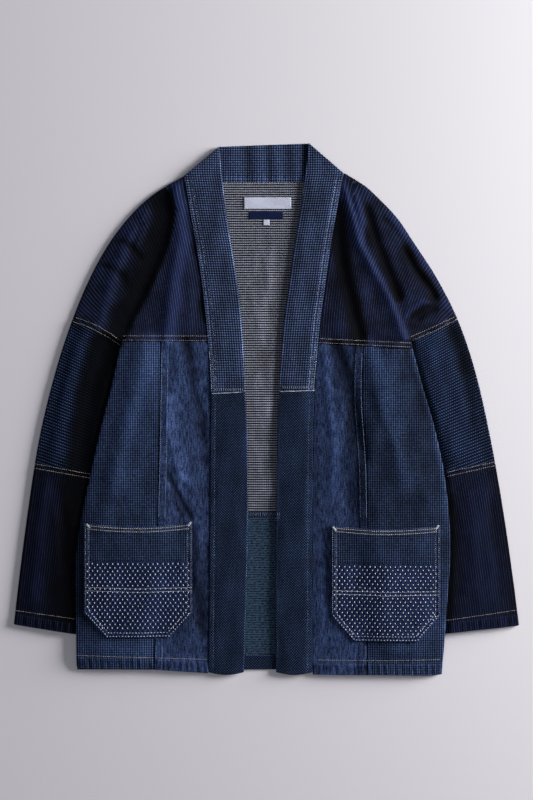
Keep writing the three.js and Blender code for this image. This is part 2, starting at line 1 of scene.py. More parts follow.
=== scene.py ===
"""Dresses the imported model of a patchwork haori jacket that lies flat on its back.

Places on the garment are x, from the centre line, and drop, below the collar's top, in millimetres.
Meshes are written in metres, with X to the right, Y towards the collar and Z up.
"""
import math

import bpy
import numpy as np
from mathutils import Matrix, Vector


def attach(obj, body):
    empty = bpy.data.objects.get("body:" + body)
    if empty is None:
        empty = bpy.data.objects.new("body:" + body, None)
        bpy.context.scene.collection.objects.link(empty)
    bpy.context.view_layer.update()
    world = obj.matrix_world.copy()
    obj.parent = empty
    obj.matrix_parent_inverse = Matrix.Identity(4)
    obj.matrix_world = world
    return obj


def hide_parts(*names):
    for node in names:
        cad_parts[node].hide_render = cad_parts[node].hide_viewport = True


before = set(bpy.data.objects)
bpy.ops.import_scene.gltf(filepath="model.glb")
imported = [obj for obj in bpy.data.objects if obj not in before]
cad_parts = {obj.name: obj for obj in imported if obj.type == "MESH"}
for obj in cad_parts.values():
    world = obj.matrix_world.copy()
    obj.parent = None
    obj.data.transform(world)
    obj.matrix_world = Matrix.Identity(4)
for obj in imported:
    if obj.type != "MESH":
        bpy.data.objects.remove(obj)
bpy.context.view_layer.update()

MM = 0.001
# The grid: side of a square in millimetres, column of the centre line and row of the collar's top
SQUARE = 1.5
MIDDLE_COLUMN = 266.4
TOP_ROW = 143
# Sizes in millimetres: the whole, the walls, the gaps between them and the room inside
GARMENT_LENGTH = 799
CLOTH = 1.5
BAND_CLOTH = 2.8
COLLAR_CLOTH = 2.4
STRIP_CLOTH = 1.0
LABEL_CLOTH = 1.0
SEAM_GAP = 0.3
LAID_GAP = 0.5
HOLLOW = 2.2
EDGE_ROUND = 12
SLEEVE_HEIGHT = 2 * CLOTH + HOLLOW
# How high the back lies on the sleeves, and over what lengths that height dies away
LIFT = SLEEVE_HEIGHT + SEAM_GAP
LIFT_MARGIN = 14
LIFT_RUN = 50
ARMPIT_RUN = 22
ARMPIT_SPREAD = 30
CUFF_MARGIN = 14
CUFF_RUN = 32
SIGN = {"left": -1, "right": 1}
COLUMN = {"left": 1, "right": 2}

# Outlines and seams, as rows of drop, left x, right x
OUTLINE = [
    (45, -119, 117.5), (50, -125.2, 126), (64, -150, 148), (85, -180, 171), (113, -208, 197),
    (150, -236, 222), (200, -264, 254.5), (264, -291, 287), (340, -316, 313),
    (440, -340.5, 336), (550, -358, 355.5), (650, -371, 370), (724, -379.5, 379.5),
]
BAND_OUTER = [
    (45, -125, 116), (110, -114, 104.5), (160, -105, 96), (215, -97, 88.5), (264, -91.5, 81.5),
    (330, -86, 75.5), (373, -84, 72), (460, -84.5, 70), (600, -85.5, 69), (797, -87, 69.5),
]
BAND_INNER = [
    (0, -71, 64), (55, -66.5, 57.5), (110, -59.5, 49.5), (160, -52, 41), (215, -43, 34),
    (264, -38, 26.5), (373, -32, 19), (460, -28.5, 16.5), (600, -28.5, 14), (797, -34, 14.5),
]
BODY_SIDE = [
    (290, -216, 214.5), (365, -232, 234), (425, -247, 251.5), (497, -263, 266.5),
    (570, -278, 274.5), (625, -285, 275.5), (690, -285.5, 271), (799, -285, 263.5),
]
FRONT_SEAM = [
    (290, -158, 145), (380, -159, 143), (475, -160.5, 149), (570, -163, 151), (799, -168, 150),
]
YOKE_SEAM = [(-217, 297.5), (-88, 297.5), (78, 301), (217, 310)]
FRONT_HEM = [(-286, 785), (-272, 789), (-166, 790), (-88, 795.5), (69, 797.5), (251, 799), (264, 797)]

# Sleeve sections, as rows of outer drop, inner x, inner drop
SLEEVES = {
    "left": [
        (264, -218, 296), (314, -197, 350), (368, -184, 404), (425, -179, 458), (484, -180, 515),
        (545, -186, 574), (606, -195, 633), (665, -205, 691), (722.5, -215, 748.5),
    ],
    "right": [
        (264, 217, 296), (312, 197, 350), (366, 184, 404), (423, 178, 460), (481, 178, 516),
        (543, 184, 573), (604, 191, 630), (664, 197, 687), (724, 203, 743.5),
    ],
}
SEAM_ROW = 4
# Folds at the top of the bands, as outer drop, inner x, inner drop
COLLAR_FOLD = {"left": (49.5, -70, 5), "right": (45, 64, 0)}
COLLAR_END = 373.5
NECK_DROP = 58.5
BAND_END = 794
BAND_END_SAG = 4
BACK_SEAM = 557
BACK_HEM = 790.5
BACK_INSET = 0.6
STRIP = (553, 562)
HEM_STRIP = (768, 790)
# Pockets, as inner x, outer x, top, start of the cut corners, bottom, width of the cut
POCKETS = {"left": (-111, -273, 570, 704, 741, 34), "right": (97, 260, 574, 708, 747, 34)}
POCKET_SPLIT = 57
# Labels, as left, right, top, bottom
LABELS = {
    "label_main": (-33.5, 37, 81, 98.5),
    "label_second": (-26, 25, 102, 114),
    "label_size": (-4.5, 4.5, 114.6, 123),
}
ARMPIT = {side: SLEEVES[side][0] for side in SIGN}
CUFF = {side: SLEEVES[side][-1] for side in SIGN}


def spot(column, row):
    """A place on the garment from a grid of 1.5 mm squares."""
    return (column - MIDDLE_COLUMN) * SQUARE, (row - TOP_ROW) * SQUARE


def square(x, drop):
    """Column and row of the grid at a place on the garment."""
    return x / SQUARE + MIDDLE_COLUMN, drop / SQUARE + TOP_ROW


def smoothstep(t):
    t = np.clip(t, 0, 1)
    return t * t * (3 - 2 * t)


def fade(t):
    return 1 - smoothstep(t)


def lerp(a, b, t):
    return a + (b - a) * t


def hump(distance, width):
    """1 in the middle, and nearly 0 beyond two widths."""
    return np.exp(-((distance / width) ** 2))


def smooth_line(rows, column, key=0):
    """One column of a table as a smooth function of another, with slopes from the rows beside."""
    at = np.array([row[key] for row in rows], float)
    value = np.array([row[column] for row in rows], float)
    index = np.arange(len(at))
    low, high = np.maximum(index - 1, 0), np.minimum(index + 1, len(at) - 1)
    slope = (value[high] - value[low]) / (at[high] - at[low])

    def line(q):
        q = np.asarray(q, float)
        i = np.clip(np.searchsorted(at, q) - 1, 0, len(at) - 2)
        step = at[i + 1] - at[i]
        t = np.clip((q - at[i]) / step, 0, 1)
        pull = t * (1 - t) * step * ((1 - t) * slope[i] - t * slope[i + 1])
        return lerp(value[i], value[i + 1], t * t * (3 - 2 * t)) + pull

    return line


def both_sides(rows):
    return {side: smooth_line(rows, column) for side, column in COLUMN.items()}


outline = both_sides(OUTLINE)
band_outer = both_sides(BAND_OUTER)
band_inner = both_sides(BAND_INNER)
body_side = both_sides(BODY_SIDE)
front_seam = both_sides(FRONT_SEAM)
sleeve_inner = {side: smooth_line(rows, 1, 2) for side, rows in SLEEVES.items()}


def yoke_seam(x):
    return np.interp(x, [row[0] for row in YOKE_SEAM], [row[1] for row in YOKE_SEAM])


def front_hem(x):
    return np.interp(x, [row[0] for row in FRONT_HEM], [row[1] for row in FRONT_HEM])


def by_side(x, left, right):
    return np.where(np.asarray(x) < 0, left, right)


def sign_of(x):
    return by_side(x, -1.0, 1.0)


def of_corner(corners, x, column):
    return by_side(x, corners["left"][column], corners["right"][column])


def of_sides(lines, x, drop):
    return by_side(x, lines["left"](drop), lines["right"](drop))


# Creases, as points down the crease on the 1.5 mm grid, height, width to the west and to the east,
# and the lengths over which its two ends die away

BODY_CREASES = [
    # Left yoke
    ([(172, 180), (179, 212), (180, 240), (172, 280), (166, 338)], 3.0, 9, 12, 0, 0),
    ([(165, 186), (169, 212), (163, 243), (148, 280), (130, 316), (118, 344)], -2.8, 17, 7, 12, 0),
    ([(150, 200), (128, 240), (110, 285), (98, 325)], 1.7, 12, 9, 25, 0),
    ([(116, 236), (132, 247), (143, 262)], -1.3, 4, 5, 12, 12),
    ([(122, 204), (133, 214), (142, 230)], -1.2, 5, 5, 12, 12),
    ([(96, 262), (112, 268), (128, 280)], -1.0, 5, 4, 12, 12),
    ([(150, 218), (143, 232), (134, 252)], 0.8, 5, 5, 12, 12),
    ([(190, 195), (200, 260), (206, 330)], -0.9, 4, 4, 20, 20),
    ([(186, 230), (190, 280), (192, 330)], 0.7, 6, 6, 30, 20),
    # Right yoke
    ([(341, 182), (352, 215), (357, 240), (372, 268), (388, 296), (404, 338)], 3.2, 8, 6, 0, 0),
    ([(335, 205), (339, 250), (347, 285), (359, 334)], -2.6, 9, 8, 20, 0),
    ([(354, 190), (361, 222), (360, 248)], 1.3, 5, 5, 15, 20),
    ([(364, 200), (377, 243), (393, 283), (402, 306)], -2.0, 6, 7, 15, 15),
    ([(388, 204), (412, 240), (430, 268), (446, 304)], 1.8, 8, 9, 25, 0),
    ([(401, 243), (416, 271), (431, 289), (437, 302)], -2.4, 5, 5, 20, 10),
    ([(437, 303), (420, 303), (408, 312), (402, 322)], 1.7, 4, 4, 12, 12),
    ([(440, 307), (426, 313), (414, 323)], -1.4, 4, 4, 10, 10),
    ([(378, 214), (392, 226), (404, 244)], -0.9, 5, 5, 14, 14),
    # Left front
    ([(152, 342), (136, 400), (120, 450), (110, 505)], 1.7, 15, 18, 0, 40),
    ([(168, 385), (167, 430), (177, 465), (182, 490)], 1.5, 5, 9, 25, 20),
    ([(186, 342), (192, 385), (203, 420), (206, 480)], -1.2, 8, 6, 0, 30),
    ([(166, 470), (178, 496), (193, 522)], -1.7, 3, 4, 8, 8),
    ([(170, 488), (176, 505), (184, 520)], -1.0, 3, 3, 8, 8),
    ([(171, 458), (182, 478), (199, 492)], 1.1, 5, 6, 14, 14),
    ([(186, 548), (195, 600), (203, 642)], -1.3, 5, 6, 15, 15),
    ([(198, 516), (199, 560), (192, 610)], 0.9, 5, 5, 20, 20),
    ([(128, 345), (114, 385), (104, 425)], -0.8, 9, 8, 10, 20),
    ([(176, 345), (178, 372), (172, 398)], 0.8, 6, 6, 0, 20),
    ([(118, 352), (106, 400), (94, 460), (88, 510)], 0.9, 7, 9, 10, 20),
    # Right front
    ([(334, 345), (347, 382), (356, 425), (366, 468)], -2.4, 9, 9, 0, 30),
    ([(322, 346), (328, 395), (334, 450), (330, 505)], 1.4, 6, 8, 0, 30),
    ([(368, 348), (380, 400), (397, 450), (404, 505)], 1.8, 10, 16, 0, 40),
    ([(404, 350), (418, 386), (428, 424)], -0.9, 8, 8, 10, 20),
    ([(418, 350), (431, 390), (440, 440), (444, 500)], 0.9, 8, 7, 10, 20),
    ([(322, 362), (330, 380), (338, 394)], -1.1, 4, 4, 12, 12),
    ([(346, 396), (340, 424), (344, 446)], 0.8, 5, 5, 14, 14),
    ([(318, 520), (328, 562), (324, 612)], -1.1, 5, 5, 20, 20),
    ([(326, 604), (320, 628), (322, 650)], 0.8, 5, 5, 10, 10),
    ([(352, 470), (346, 496), (352, 520)], -0.8, 6, 6, 14, 14),
]
SLEEVE_CREASES = [
    ([(92, 318), (77, 350), (65, 400), (57, 450), (54, 470)], 1.2, 12, 12, 0, 20),
    ([(112, 340), (94, 385), (85, 430), (80, 478)], -2.0, 12, 14, 0, 20),
    ([(46, 476), (37, 540), (31, 606)], 1.1, 9, 12, 20, 20),
    ([(62, 500), (66, 550), (69, 604)], -1.2, 8, 8, 20, 20),
    ([(52, 500), (57, 540), (58, 590)], 0.6, 5, 5, 20, 20),
    ([(70, 335), (62, 372), (54, 412)], -0.7, 6, 5, 14, 20),
    ([(432, 340), (431, 380), (445, 420), (459, 466)], 1.0, 14, 14, 0, 20),
    ([(447, 318), (461, 360), (469, 400), (476, 450)], -1.1, 10, 9, 0, 20),
    ([(462, 326), (477, 370), (486, 420)], 0.9, 6, 6, 10, 20),
    ([(470, 482), (474, 540), (478, 604)], 1.0, 10, 10, 20, 20),
    ([(490, 492), (496, 550), (502, 602)], -0.9, 8, 8, 20, 20),
    ([(458, 500), (456, 560), (462, 604)], -0.8, 7, 7, 20, 20),
]
CREASE_REACH = 3.2

# Paler and darker parts of the cloth, as the middle on the 1.5 mm grid, half width, half height, amount
TONE_PATCHES = [
    (145, 440, 60, 150, 0.08), (182, 420, 30, 110, 0.1), (182, 590, 36, 60, -0.6),
    (336, 430, 24, 120, 0.05), (334, 590, 26, 90, 0.5), (405, 450, 60, 120, -0.55),
    (384, 362, 24, 26, 0.35), (388, 560, 90, 60, -0.1), (130, 656, 70, 22, 0.65),
    (390, 656, 70, 22, 0.3), (95, 470, 18, 100, -0.25), (58, 400, 30, 70, -0.12), (142, 366, 20, 30, 0.25),
]


def crease_height(x, drop, crease):
    """Height of one crease at many places: a soft ridge, or a trough where its height is negative."""
    points, height, west, east, start, end = crease
    places = np.array([spot(*p) for p in points])
    widest = max(west, east) * CREASE_REACH
    found = np.zeros(x.shape)
    near = (x > places[:, 0].min() - widest) & (x < places[:, 0].max() + widest)
    near &= (drop > places[:, 1].min() - widest) & (drop < places[:, 1].max() + widest)
    if not near.any():
        return found
    px, pd = x[near], drop[near]
    best = np.full(px.shape, np.inf)
    across = np.zeros(px.shape)
    run = np.zeros(px.shape)
    length = 0.0
    for (ax, ad), (bx, bd) in zip(places[:-1], places[1:]):
        step = math.hypot(bx - ax, bd - ad)
        ux, ud = (bx - ax) / step, (bd - ad) / step
        t = np.clip((px - ax) * ux + (pd - ad) * ud, 0, step)
        dx, dd = px - ax - t * ux, pd - ad - t * ud
        distance = np.hypot(dx, dd)
        side = np.sign((px - ax) * ud - (pd - ad) * ux)
        closer = distance < best
        best = np.where(closer, distance, best)
        across = np.where(closer, side * distance, across)
        run = np.where(closer, length + t, run)
        length += step
    width = np.where(across > 0, east, west)
    shape = hump(across, width)
    if start:
        shape *= smoothstep(run / start)
    if end:
        shape *= smoothstep((length - run) / end)
    found[near] = height * shape
    return found


# Painted shade that darkens the cloth in the folds and painted highlight that pales it on the ridges,
# as lines like the creases, with an amount for the height
PAINTED_FOLD_SHADE = [
    ([(167, 186), (173, 210), (170, 234), (165, 248), (150, 283), (130, 320), (120, 342)],
     -1.1, 30, 5, 25, 0),
    ([(196, 188), (200, 240), (208, 320)], -0.5, 7, 5, 0, 20),
    ([(178, 205), (181, 250), (176, 300), (172, 338)], 0.45, 9, 9, 20, 0),
    ([(112, 238), (130, 246), (144, 262)], -0.6, 5, 6, 10, 10),
    ([(100, 262), (118, 270), (134, 290)], -0.4, 6, 6, 10, 10),
    ([(338, 196), (342, 240), (347, 275), (354, 305), (361, 342)], -1.1, 12, 10, 12, 0),
    ([(366, 284), (370, 310), (372, 336)], 0.3, 9, 9, 10, 0),
    ([(354, 186), (360, 215), (362, 248)], 0.7, 6, 7, 10, 15),
    ([(362, 222), (382, 262), (399, 304)], -0.55, 6, 11, 15, 8),
    ([(352, 222), (362, 252), (378, 280), (392, 306), (402, 334)], 0.35, 3, 2, 10, 10),
    ([(388, 214), (410, 240), (434, 278)], 0.4, 10, 9, 15, 15),
    ([(401, 236), (418, 267), (433, 287), (438, 301)], -0.9, 9, 9, 20, 6),
    ([(438, 300), (424, 308), (410, 318)], -0.8, 5, 5, 8, 8),
    ([(424, 300), (410, 308), (403, 320)], 0.5, 3, 3, 6, 6),
    ([(187, 342), (191, 366)], -0.6, 7, 6, 0, 10),
    ([(194, 366), (202, 384)], -0.6, 7, 6, 8, 8),
    ([(203, 420), (204, 444)], -0.5, 5, 5, 8, 10),
    ([(187, 342), (192, 385), (200, 430), (207, 480)], -0.25, 12, 9, 0, 30),
    ([(175, 360), (180, 410)], 0.3, 8, 8, 15, 15),
    ([(178, 448), (192, 470)], 0.35, 8, 7, 12, 12),
    ([(167, 385), (168, 425), (176, 462), (186, 500)], 0.2, 5, 12, 20, 20),
    ([(166, 470), (178, 496), (193, 522)], -0.9, 3, 4, 8, 8),
    ([(170, 488), (176, 505), (184, 520)], -0.6, 3, 3, 8, 8),
    ([(192, 520), (200, 570), (206, 640)], -0.5, 12, 5, 20, 10),
    ([(150, 350), (138, 400), (122, 450)], 0.35, 16, 16, 10, 30),
    ([(120, 352), (106, 400), (94, 450), (86, 520)], 0.3, 5, 10, 10, 10),
    ([(338, 346), (346, 372), (354, 405), (359, 438)], -1.1, 12, 8, 4, 24),
    ([(352, 420), (360, 470), (364, 510)], -0.4, 12, 8, 20, 20),
    ([(320, 372), (330, 398)], 0.35, 9, 9, 10, 10),
    ([(324, 430), (336, 466)], 0.3, 12, 12, 14, 14),
    ([(324, 348), (328, 400), (334, 450), (332, 510)], 0.45, 7, 7, 15, 25),
    ([(382, 352), (396, 400), (408, 450)], 0.35, 16, 14, 10, 30),
    ([(315, 400), (316, 500), (315, 650)], -0.4, 3, 5, 10, 10),
    ([(320, 545), (332, 575), (330, 600)], -0.5, 5, 5, 14, 14),
    ([(418, 352), (434, 400), (443, 450), (446, 520)], 0.3, 7, 5, 10, 20),
    ([(336, 530), (345, 540), (360, 556)], -0.8, 4, 6, 4, 8),
    ([(72, 326), (58, 380), (46, 450)], 0.2, 18, 16, 10, 10),
    ([(66, 482), (72, 512), (80, 556), (80, 612)], -0.9, 8, 22, 4, 0),
    ([(56, 486), (62, 520), (71, 556)], 0.4, 6, 5, 8, 10),
    ([(98, 336), (90, 380), (82, 440), (78, 474)], -0.5, 16, 20, 8, 0),
    ([(48, 484), (40, 545), (33, 606)], 0.35, 14, 12, 10, 10),
    ([(437, 345), (434, 372), (442, 410), (456, 460)], 0.2, 16, 16, 10, 10),
    ([(452, 324), (463, 352), (470, 385)], -0.4, 12, 12, 8, 20),
    ([(424, 352), (434, 390), (446, 430), (452, 470)], -0.5, 6, 8, 10, 10),
    ([(452, 490), (452, 550), (452, 612)], -0.5, 8, 14, 10, 0),
    ([(480, 484), (488, 545), (494, 604)], 0.3, 14, 14, 10, 10),
]


# Painted shade and highlight of the folds, added to the paler and darker patches of the cloth
def fold_shade_and_patches(x, drop):
    total = crease_relief(PAINTED_FOLD_SHADE, x, drop)
    for column, row, width, height, amount in TONE_PATCHES:
        middle_x, middle_drop = spot(column, row)
        away = np.hypot((x - middle_x) / (SQUARE * width), (drop - middle_drop) / (SQUARE * height))
        total = total + amount * hump(away, 1)
    return total


def crease_relief(creases, x, drop):
    return sum(crease_height(x, drop, crease) for crease in creases)


# Slow waves that keep the cloth from lying dead flat: wavelength, direction in degrees, phase, height
WAVES = [
    (31, 12, 0.4, 0.16), (43, 68, 2.1, 0.2), (57, 141, 4.4, 0.2),
    (26, 97, 1.2, 0.1), (71, 33, 5.6, 0.24), (19, 160, 3.3, 0.07),
]


def wave_relief(x, drop):
    total = 0
    for length, degrees, phase, height in WAVES:
        angle = math.radians(degrees)
        along = x * math.cos(angle) + drop * math.sin(angle)
        total = total + height * np.sin(2 * math.pi * along / length + phase)
    return total


def pucker(run, distance, reach, height, pitch=9.0):
    """Small waves along a stitched line, a given distance from it."""
    turn = 2 * math.pi * run / pitch
    ripple = np.sin(turn) + 0.6 * np.sin(1.73 * turn + 1.3) + 0.5 * np.sin(0.61 * turn + 4.0)
    return height * ripple * hump(distance, reach)


# Heights of the layers


def sleeve_lift(x, drop):
    """Height at which the back lies: on the surface, or on the inner part of a sleeve."""
    sign = sign_of(x)
    inward = sign * (of_sides(sleeve_inner, x, drop) - x) - LIFT_MARGIN
    above = of_corner(ARMPIT, x, 2) - drop
    outward = np.where(above > 0, sign * (x - of_corner(ARMPIT, x, 1)), 0)
    below = drop - of_corner(CUFF, x, 2) - CUFF_MARGIN
    along = fade(above / ARMPIT_RUN) * fade(outward / ARMPIT_SPREAD) * fade(below / CUFF_RUN)
    return LIFT * fade(inward / LIFT_RUN) * along


def hollow_at(distance):
    t = np.clip(distance / EDGE_ROUND, 0, 1)
    return lerp(SEAM_GAP, HOLLOW, np.sqrt(1 - (1 - t) ** 2))


def edge_relief(distance):
    return smoothstep(distance / (2 * EDGE_ROUND))


def edge_distance(x, drop):
    sign = sign_of(x)
    shoulder = of_sides(outline, x, drop)
    side = of_sides(body_side, x, drop)
    edge = np.where(drop < of_corner(ARMPIT, x, 2), shoulder, side)
    return np.maximum(sign * (edge - x), 0)


def band_distance(x, drop):
    return np.maximum(np.abs(x) - np.abs(of_sides(band_outer, x, drop)), 0)


def soft_floor(value, low, soft=0.5):
    over = value - low
    return low + 0.5 * (over + np.sqrt(over * over + soft * soft))


# Where the inside of the back has its folds: their middle, half width, and first and last drop
OPEN_MIDDLE = -5
OPEN_HALF = 8
OPEN_DROPS = (130, 520)


def back_relief(x, drop):
    """Soft folds of the inside of the back, where no other cloth lies on it."""
    shown = fade((np.abs(x - OPEN_MIDDLE) - OPEN_HALF) / 16) * smoothstep((drop - OPEN_DROPS[0]) / 30)
    return (0.45 + 1.6 * wave_relief(x * 1.3, drop * 0.8)) * shown * fade((drop - OPEN_DROPS[1]) / 20)


# Fullness of the fronts and the sleeves, and widths and heights of their turned-under seams and hems
PUFF = 2.0
PUFF_REACH = 45
SLEEVE_PUFF = 1.6
SLEEVE_PUFF_REACH = 35
FELL = 9.0
OFF_EDGE = -5
FELL_RISE = 0.75
FRONT_FELL = 11.4
FRONT_FELL_RISE = 0.7
HEM = 16.0
HEM_RISE = 0.9
# Distance from a hem or a band within which folds die away
CALM = 14


def body_relief(x, drop):
    return crease_relief(BODY_CREASES, x, drop) + wave_relief(x, drop)


def front_low(x, drop, relief=None):
    distance = edge_distance(x, drop)
    beside = band_distance(x, drop)
    if relief is None:
        relief = body_relief(x, drop)
    puff = PUFF * smoothstep(distance / PUFF_REACH) * smoothstep((beside + 4) / PUFF_REACH)
    hem = front_hem(x) - drop
    relief = relief * (0.35 + 0.65 * smoothstep(beside / CALM)) * (1 - 0.7 * hump(hem, CALM))
    relief = relief + pucker(x, hem - HEM, 9, 0.22, 8)
    relief = relief + pucker(x, drop - yoke_seam(x), 7, 0.16, 11)
    relief = relief + pucker(drop, beside, 6, 0.16, 10)
    room = hollow_at(distance) + (puff + relief) * edge_relief(distance)
    clear = np.minimum(hollow_at(distance), 0.3)
    return sleeve_lift(x, drop) + CLOTH + soft_floor(room, clear, 0.4)


def step_between(distance, start, end, soft=0.9):
    """1 between two distances, with soft sides."""
    return smoothstep((distance - start) / soft) * smoothstep((end - distance) / soft)


def yoke_wall(x, drop):
    above = yoke_seam(x) - drop
    return CLOTH + FELL_RISE * step_between(above, OFF_EDGE, FELL)


def front_wall(x, drop):
    hem = front_hem(x) - drop
    seam = of_sides(front_seam, x, drop)
    inward = np.abs(seam) - np.abs(x)
    rope = pucker(x + 0.12 * hem, hem - HEM / 2, HEM / 2, 0.3, 9)
    rise = HEM_RISE * step_between(hem, OFF_EDGE, HEM)
    rise = rise + FRONT_FELL_RISE * step_between(inward, 0, FRONT_FELL)
    return CLOTH + rise + np.where(hem < HEM, rope, 0)


def collar_low(drop):
    rise = smoothstep(drop / NECK_DROP)
    return lerp(COLLAR_CLOTH + SEAM_GAP, CLOTH + HOLLOW, rise)


def across_band(x, drop):
    """Distances of a place on a band from its outer and its inner edge."""
    sign = sign_of(x)
    from_outer = np.abs(of_sides(band_outer, x, drop)) - sign * x
    return from_outer, sign * x - sign * of_sides(band_inner, x, drop)


def band_waves(x, drop):
    return wave_relief(x * 1.2 + 40, drop * 0.7)


def band_wall(x, drop):
    from_outer, from_inner = across_band(x, drop)
    crown = 0.7 * smoothstep(from_outer / 14) * smoothstep(from_inner / 14)
    ripple = pucker(drop, from_outer - 6, 7, 0.13, 8.5) + pucker(drop, from_inner, 5, 0.09, 12)
    groove = -0.35 * hump(from_outer - 8, 1.6)
    return BAND_CLOTH + crown + ripple + groove + 0.7 * band_waves(x, drop)


def sleeve_relief(x, drop, along):
    sign = sign_of(x)
    shown = sign * (x - of_sides(body_side, x, drop))
    relief = crease_relief(SLEEVE_CREASES, x, drop) + 0.8 * wave_relief(x + 200, drop)
    puff = SLEEVE_PUFF * smoothstep(along / SLEEVE_PUFF_REACH)
    return (puff + relief) * edge_relief(along) * smoothstep((shown + 1) / 11)


# Meshes

CLOTH_MAP = "Cloth"


def mesh_object(name, points, faces, uv, values):
    """An object from points in millimetres. Faces are turned outwards by the sign of the volume."""
    points = np.asarray(points, float) * MM
    faces = np.asarray(faces, int)
    a, b, c, d = (points[faces[:, k]] for k in range(4))
    volume = np.einsum("ij,ij->", a, np.cross(b, c)) + np.einsum("ij,ij->", a, np.cross(c, d))
    if volume < 0:
        faces = faces[:, ::-1]
    mesh = bpy.data.meshes.new(name)
    mesh.vertices.add(len(points))
    mesh.vertices.foreach_set("co", points.ravel())
    mesh.loops.add(faces.size)
    mesh.loops.foreach_set("vertex_index", faces.ravel())
    mesh.polygons.add(len(faces))
    mesh.polygons.foreach_set("loop_start", np.arange(0, faces.size, 4))
    mesh.polygons.foreach_set("loop_total", np.full(len(faces), 4))
    mesh.update(calc_edges=True)
    mesh.polygons.foreach_set("use_smooth", np.ones(len(faces), bool))
    layer = mesh.uv_layers.new(name=CLOTH_MAP)
    layer.data.foreach_set("uv", np.asarray(uv, float)[faces.ravel()].ravel())
    for key, value in values.items():
        attribute = mesh.attributes.new(key, "FLOAT", "POINT")
        attribute.data.foreach_set("value", np.asarray(value, float).ravel())
    obj = bpy.data.objects.new(f"{name}_cloth", mesh)
    bpy.context.collection.objects.link(obj)
    return obj


def place_y(drop):
    return GARMENT_LENGTH / 2 - drop


# Width of a cloth's rounded edge, and the share of the wall that each face gives up there
EDGE_REACH = 0.9
EDGE_CLOSE = 0.42


def round_over(distance, wall):
    """How far the two faces of a wall close up towards its edge."""
    t = np.clip(distance / EDGE_REACH, 0, 1)
    return EDGE_CLOSE * wall * (1 - np.sqrt(1 - (1 - t) ** 2))


def grid_faces(index):
    corners = index[:-1, :-1], index[:-1, 1:], index[1:, 1:], index[1:, :-1]
    return np.stack([corner.ravel() for corner in corners], axis=-1)


def edge_gap(x, drop):
    """Distance of each point of a grid from the grid's four edges, whichever is least."""
    across = np.hypot(np.diff(x, axis=1), np.diff(drop, axis=1))
    down = np.hypot(np.diff(x, axis=0), np.diff(drop, axis=0))
    west = np.concatenate([np.zeros((len(x), 1)), np.cumsum(across, axis=1)], axis=1)
    north = np.concatenate([np.zeros((1, x.shape[1])), np.cumsum(down, axis=0)], axis=0)
    east = west[:, -1:] - west
    south = north[-1:] - north
    return np.minimum(np.minimum(west, east), np.minimum(north, south))


def cloth(name, slot, x, drop, low, wall, u, v, tone, wear=0.0):
    """A dressed closed wall of cloth over a grid of places, with rounded edges."""
    zero = np.zeros(x.shape)
    wall = wall + zero
    close = round_over(edge_gap(x, drop), wall)
    y = place_y(drop)
    top = np.stack([x, y, low + wall - close], axis=-1).reshape(-1, 3)
    bottom = np.stack([x, y, low + close], axis=-1).reshape(-1, 3)
    count = x.size
    index = np.arange(count).reshape(x.shape)
    faces = [grid_faces(index), grid_faces(index + count)[:, ::-1]]
    loop = np.concatenate([index[0, :-1], index[:-1, -1], index[-1, :0:-1], index[:0:-1, 0]])
    after = np.roll(loop, -1)
    faces.append(np.stack([after, loop, loop + count, after + count], axis=-1))
    uv = np.tile(np.stack([u + zero, v + zero], axis=-1).reshape(-1, 2), (2, 1))
    # tone carries the painted shade and highlight of the folds with the cloth's paler and darker patches;
    # wear carries its paler, rubbed edges
    values = {"tone": np.tile(np.clip(tone, -1, 1).ravel(), 2), "wear": np.tile((wear + zero).ravel(), 2)}
    obj = mesh_object(name, np.concatenate([top, bottom]), np.concatenate(faces), uv, values)
    return dress(obj, name, slot)


# Distances from an edge, in millimetres, at which a mesh has rows
FINE = [0, 0.3, 0.9, 1.8, 3.0]


def steps(length, spacing, start=True, end=True):
    """Shares of a length, evenly spaced but closer together beside its ends."""
    head = [p for p in FINE if start or p == 0]
    tail = [length - p for p in FINE if end or p == 0]
    first, last = head[-1], tail[-1]
    count = max(int(round((last - first) / spacing)), 1)
    middle = np.linspace(first, last, count + 1)[1:-1]
    return np.array(head + list(middle) + tail[::-1]) / length


FULL_SHADE_HEIGHT = 2.4


def shade_by_height(relief):
    """Painted shade of a fold, from -1 to 1, by its height: darker in troughs and paler on ridges."""
    return np.clip(relief / FULL_SHADE_HEIGHT, -1, 1)


# Materials


def colour(red, green, blue):
    """A colour from its usual 0 to 255 values."""
    def linear(value):
        share = value / 255
        return share / 12.92 if share <= 0.04045 else ((share + 0.055) / 1.055) ** 2.4
    return linear(red), linear(green), linear(blue), 1.0


class Term:
    """A number that shader nodes work out."""

    def __init__(self, maker, socket):
        self.maker = maker
        self.socket = socket

    def __add__(self, other):
        return self.maker.math("ADD", self, other)

    __radd__ = __add__

    def __sub__(self, other):
        return self.maker.math("SUBTRACT", self, other)

    def __rsub__(self, other):
        return self.maker.math("SUBTRACT", other, self)

    def __mul__(self, other):
        return self.maker.math("MULTIPLY", self, other)

    __rmul__ = __mul__

    def __truediv__(self, other):
        return self.maker.math("DIVIDE", self, other)


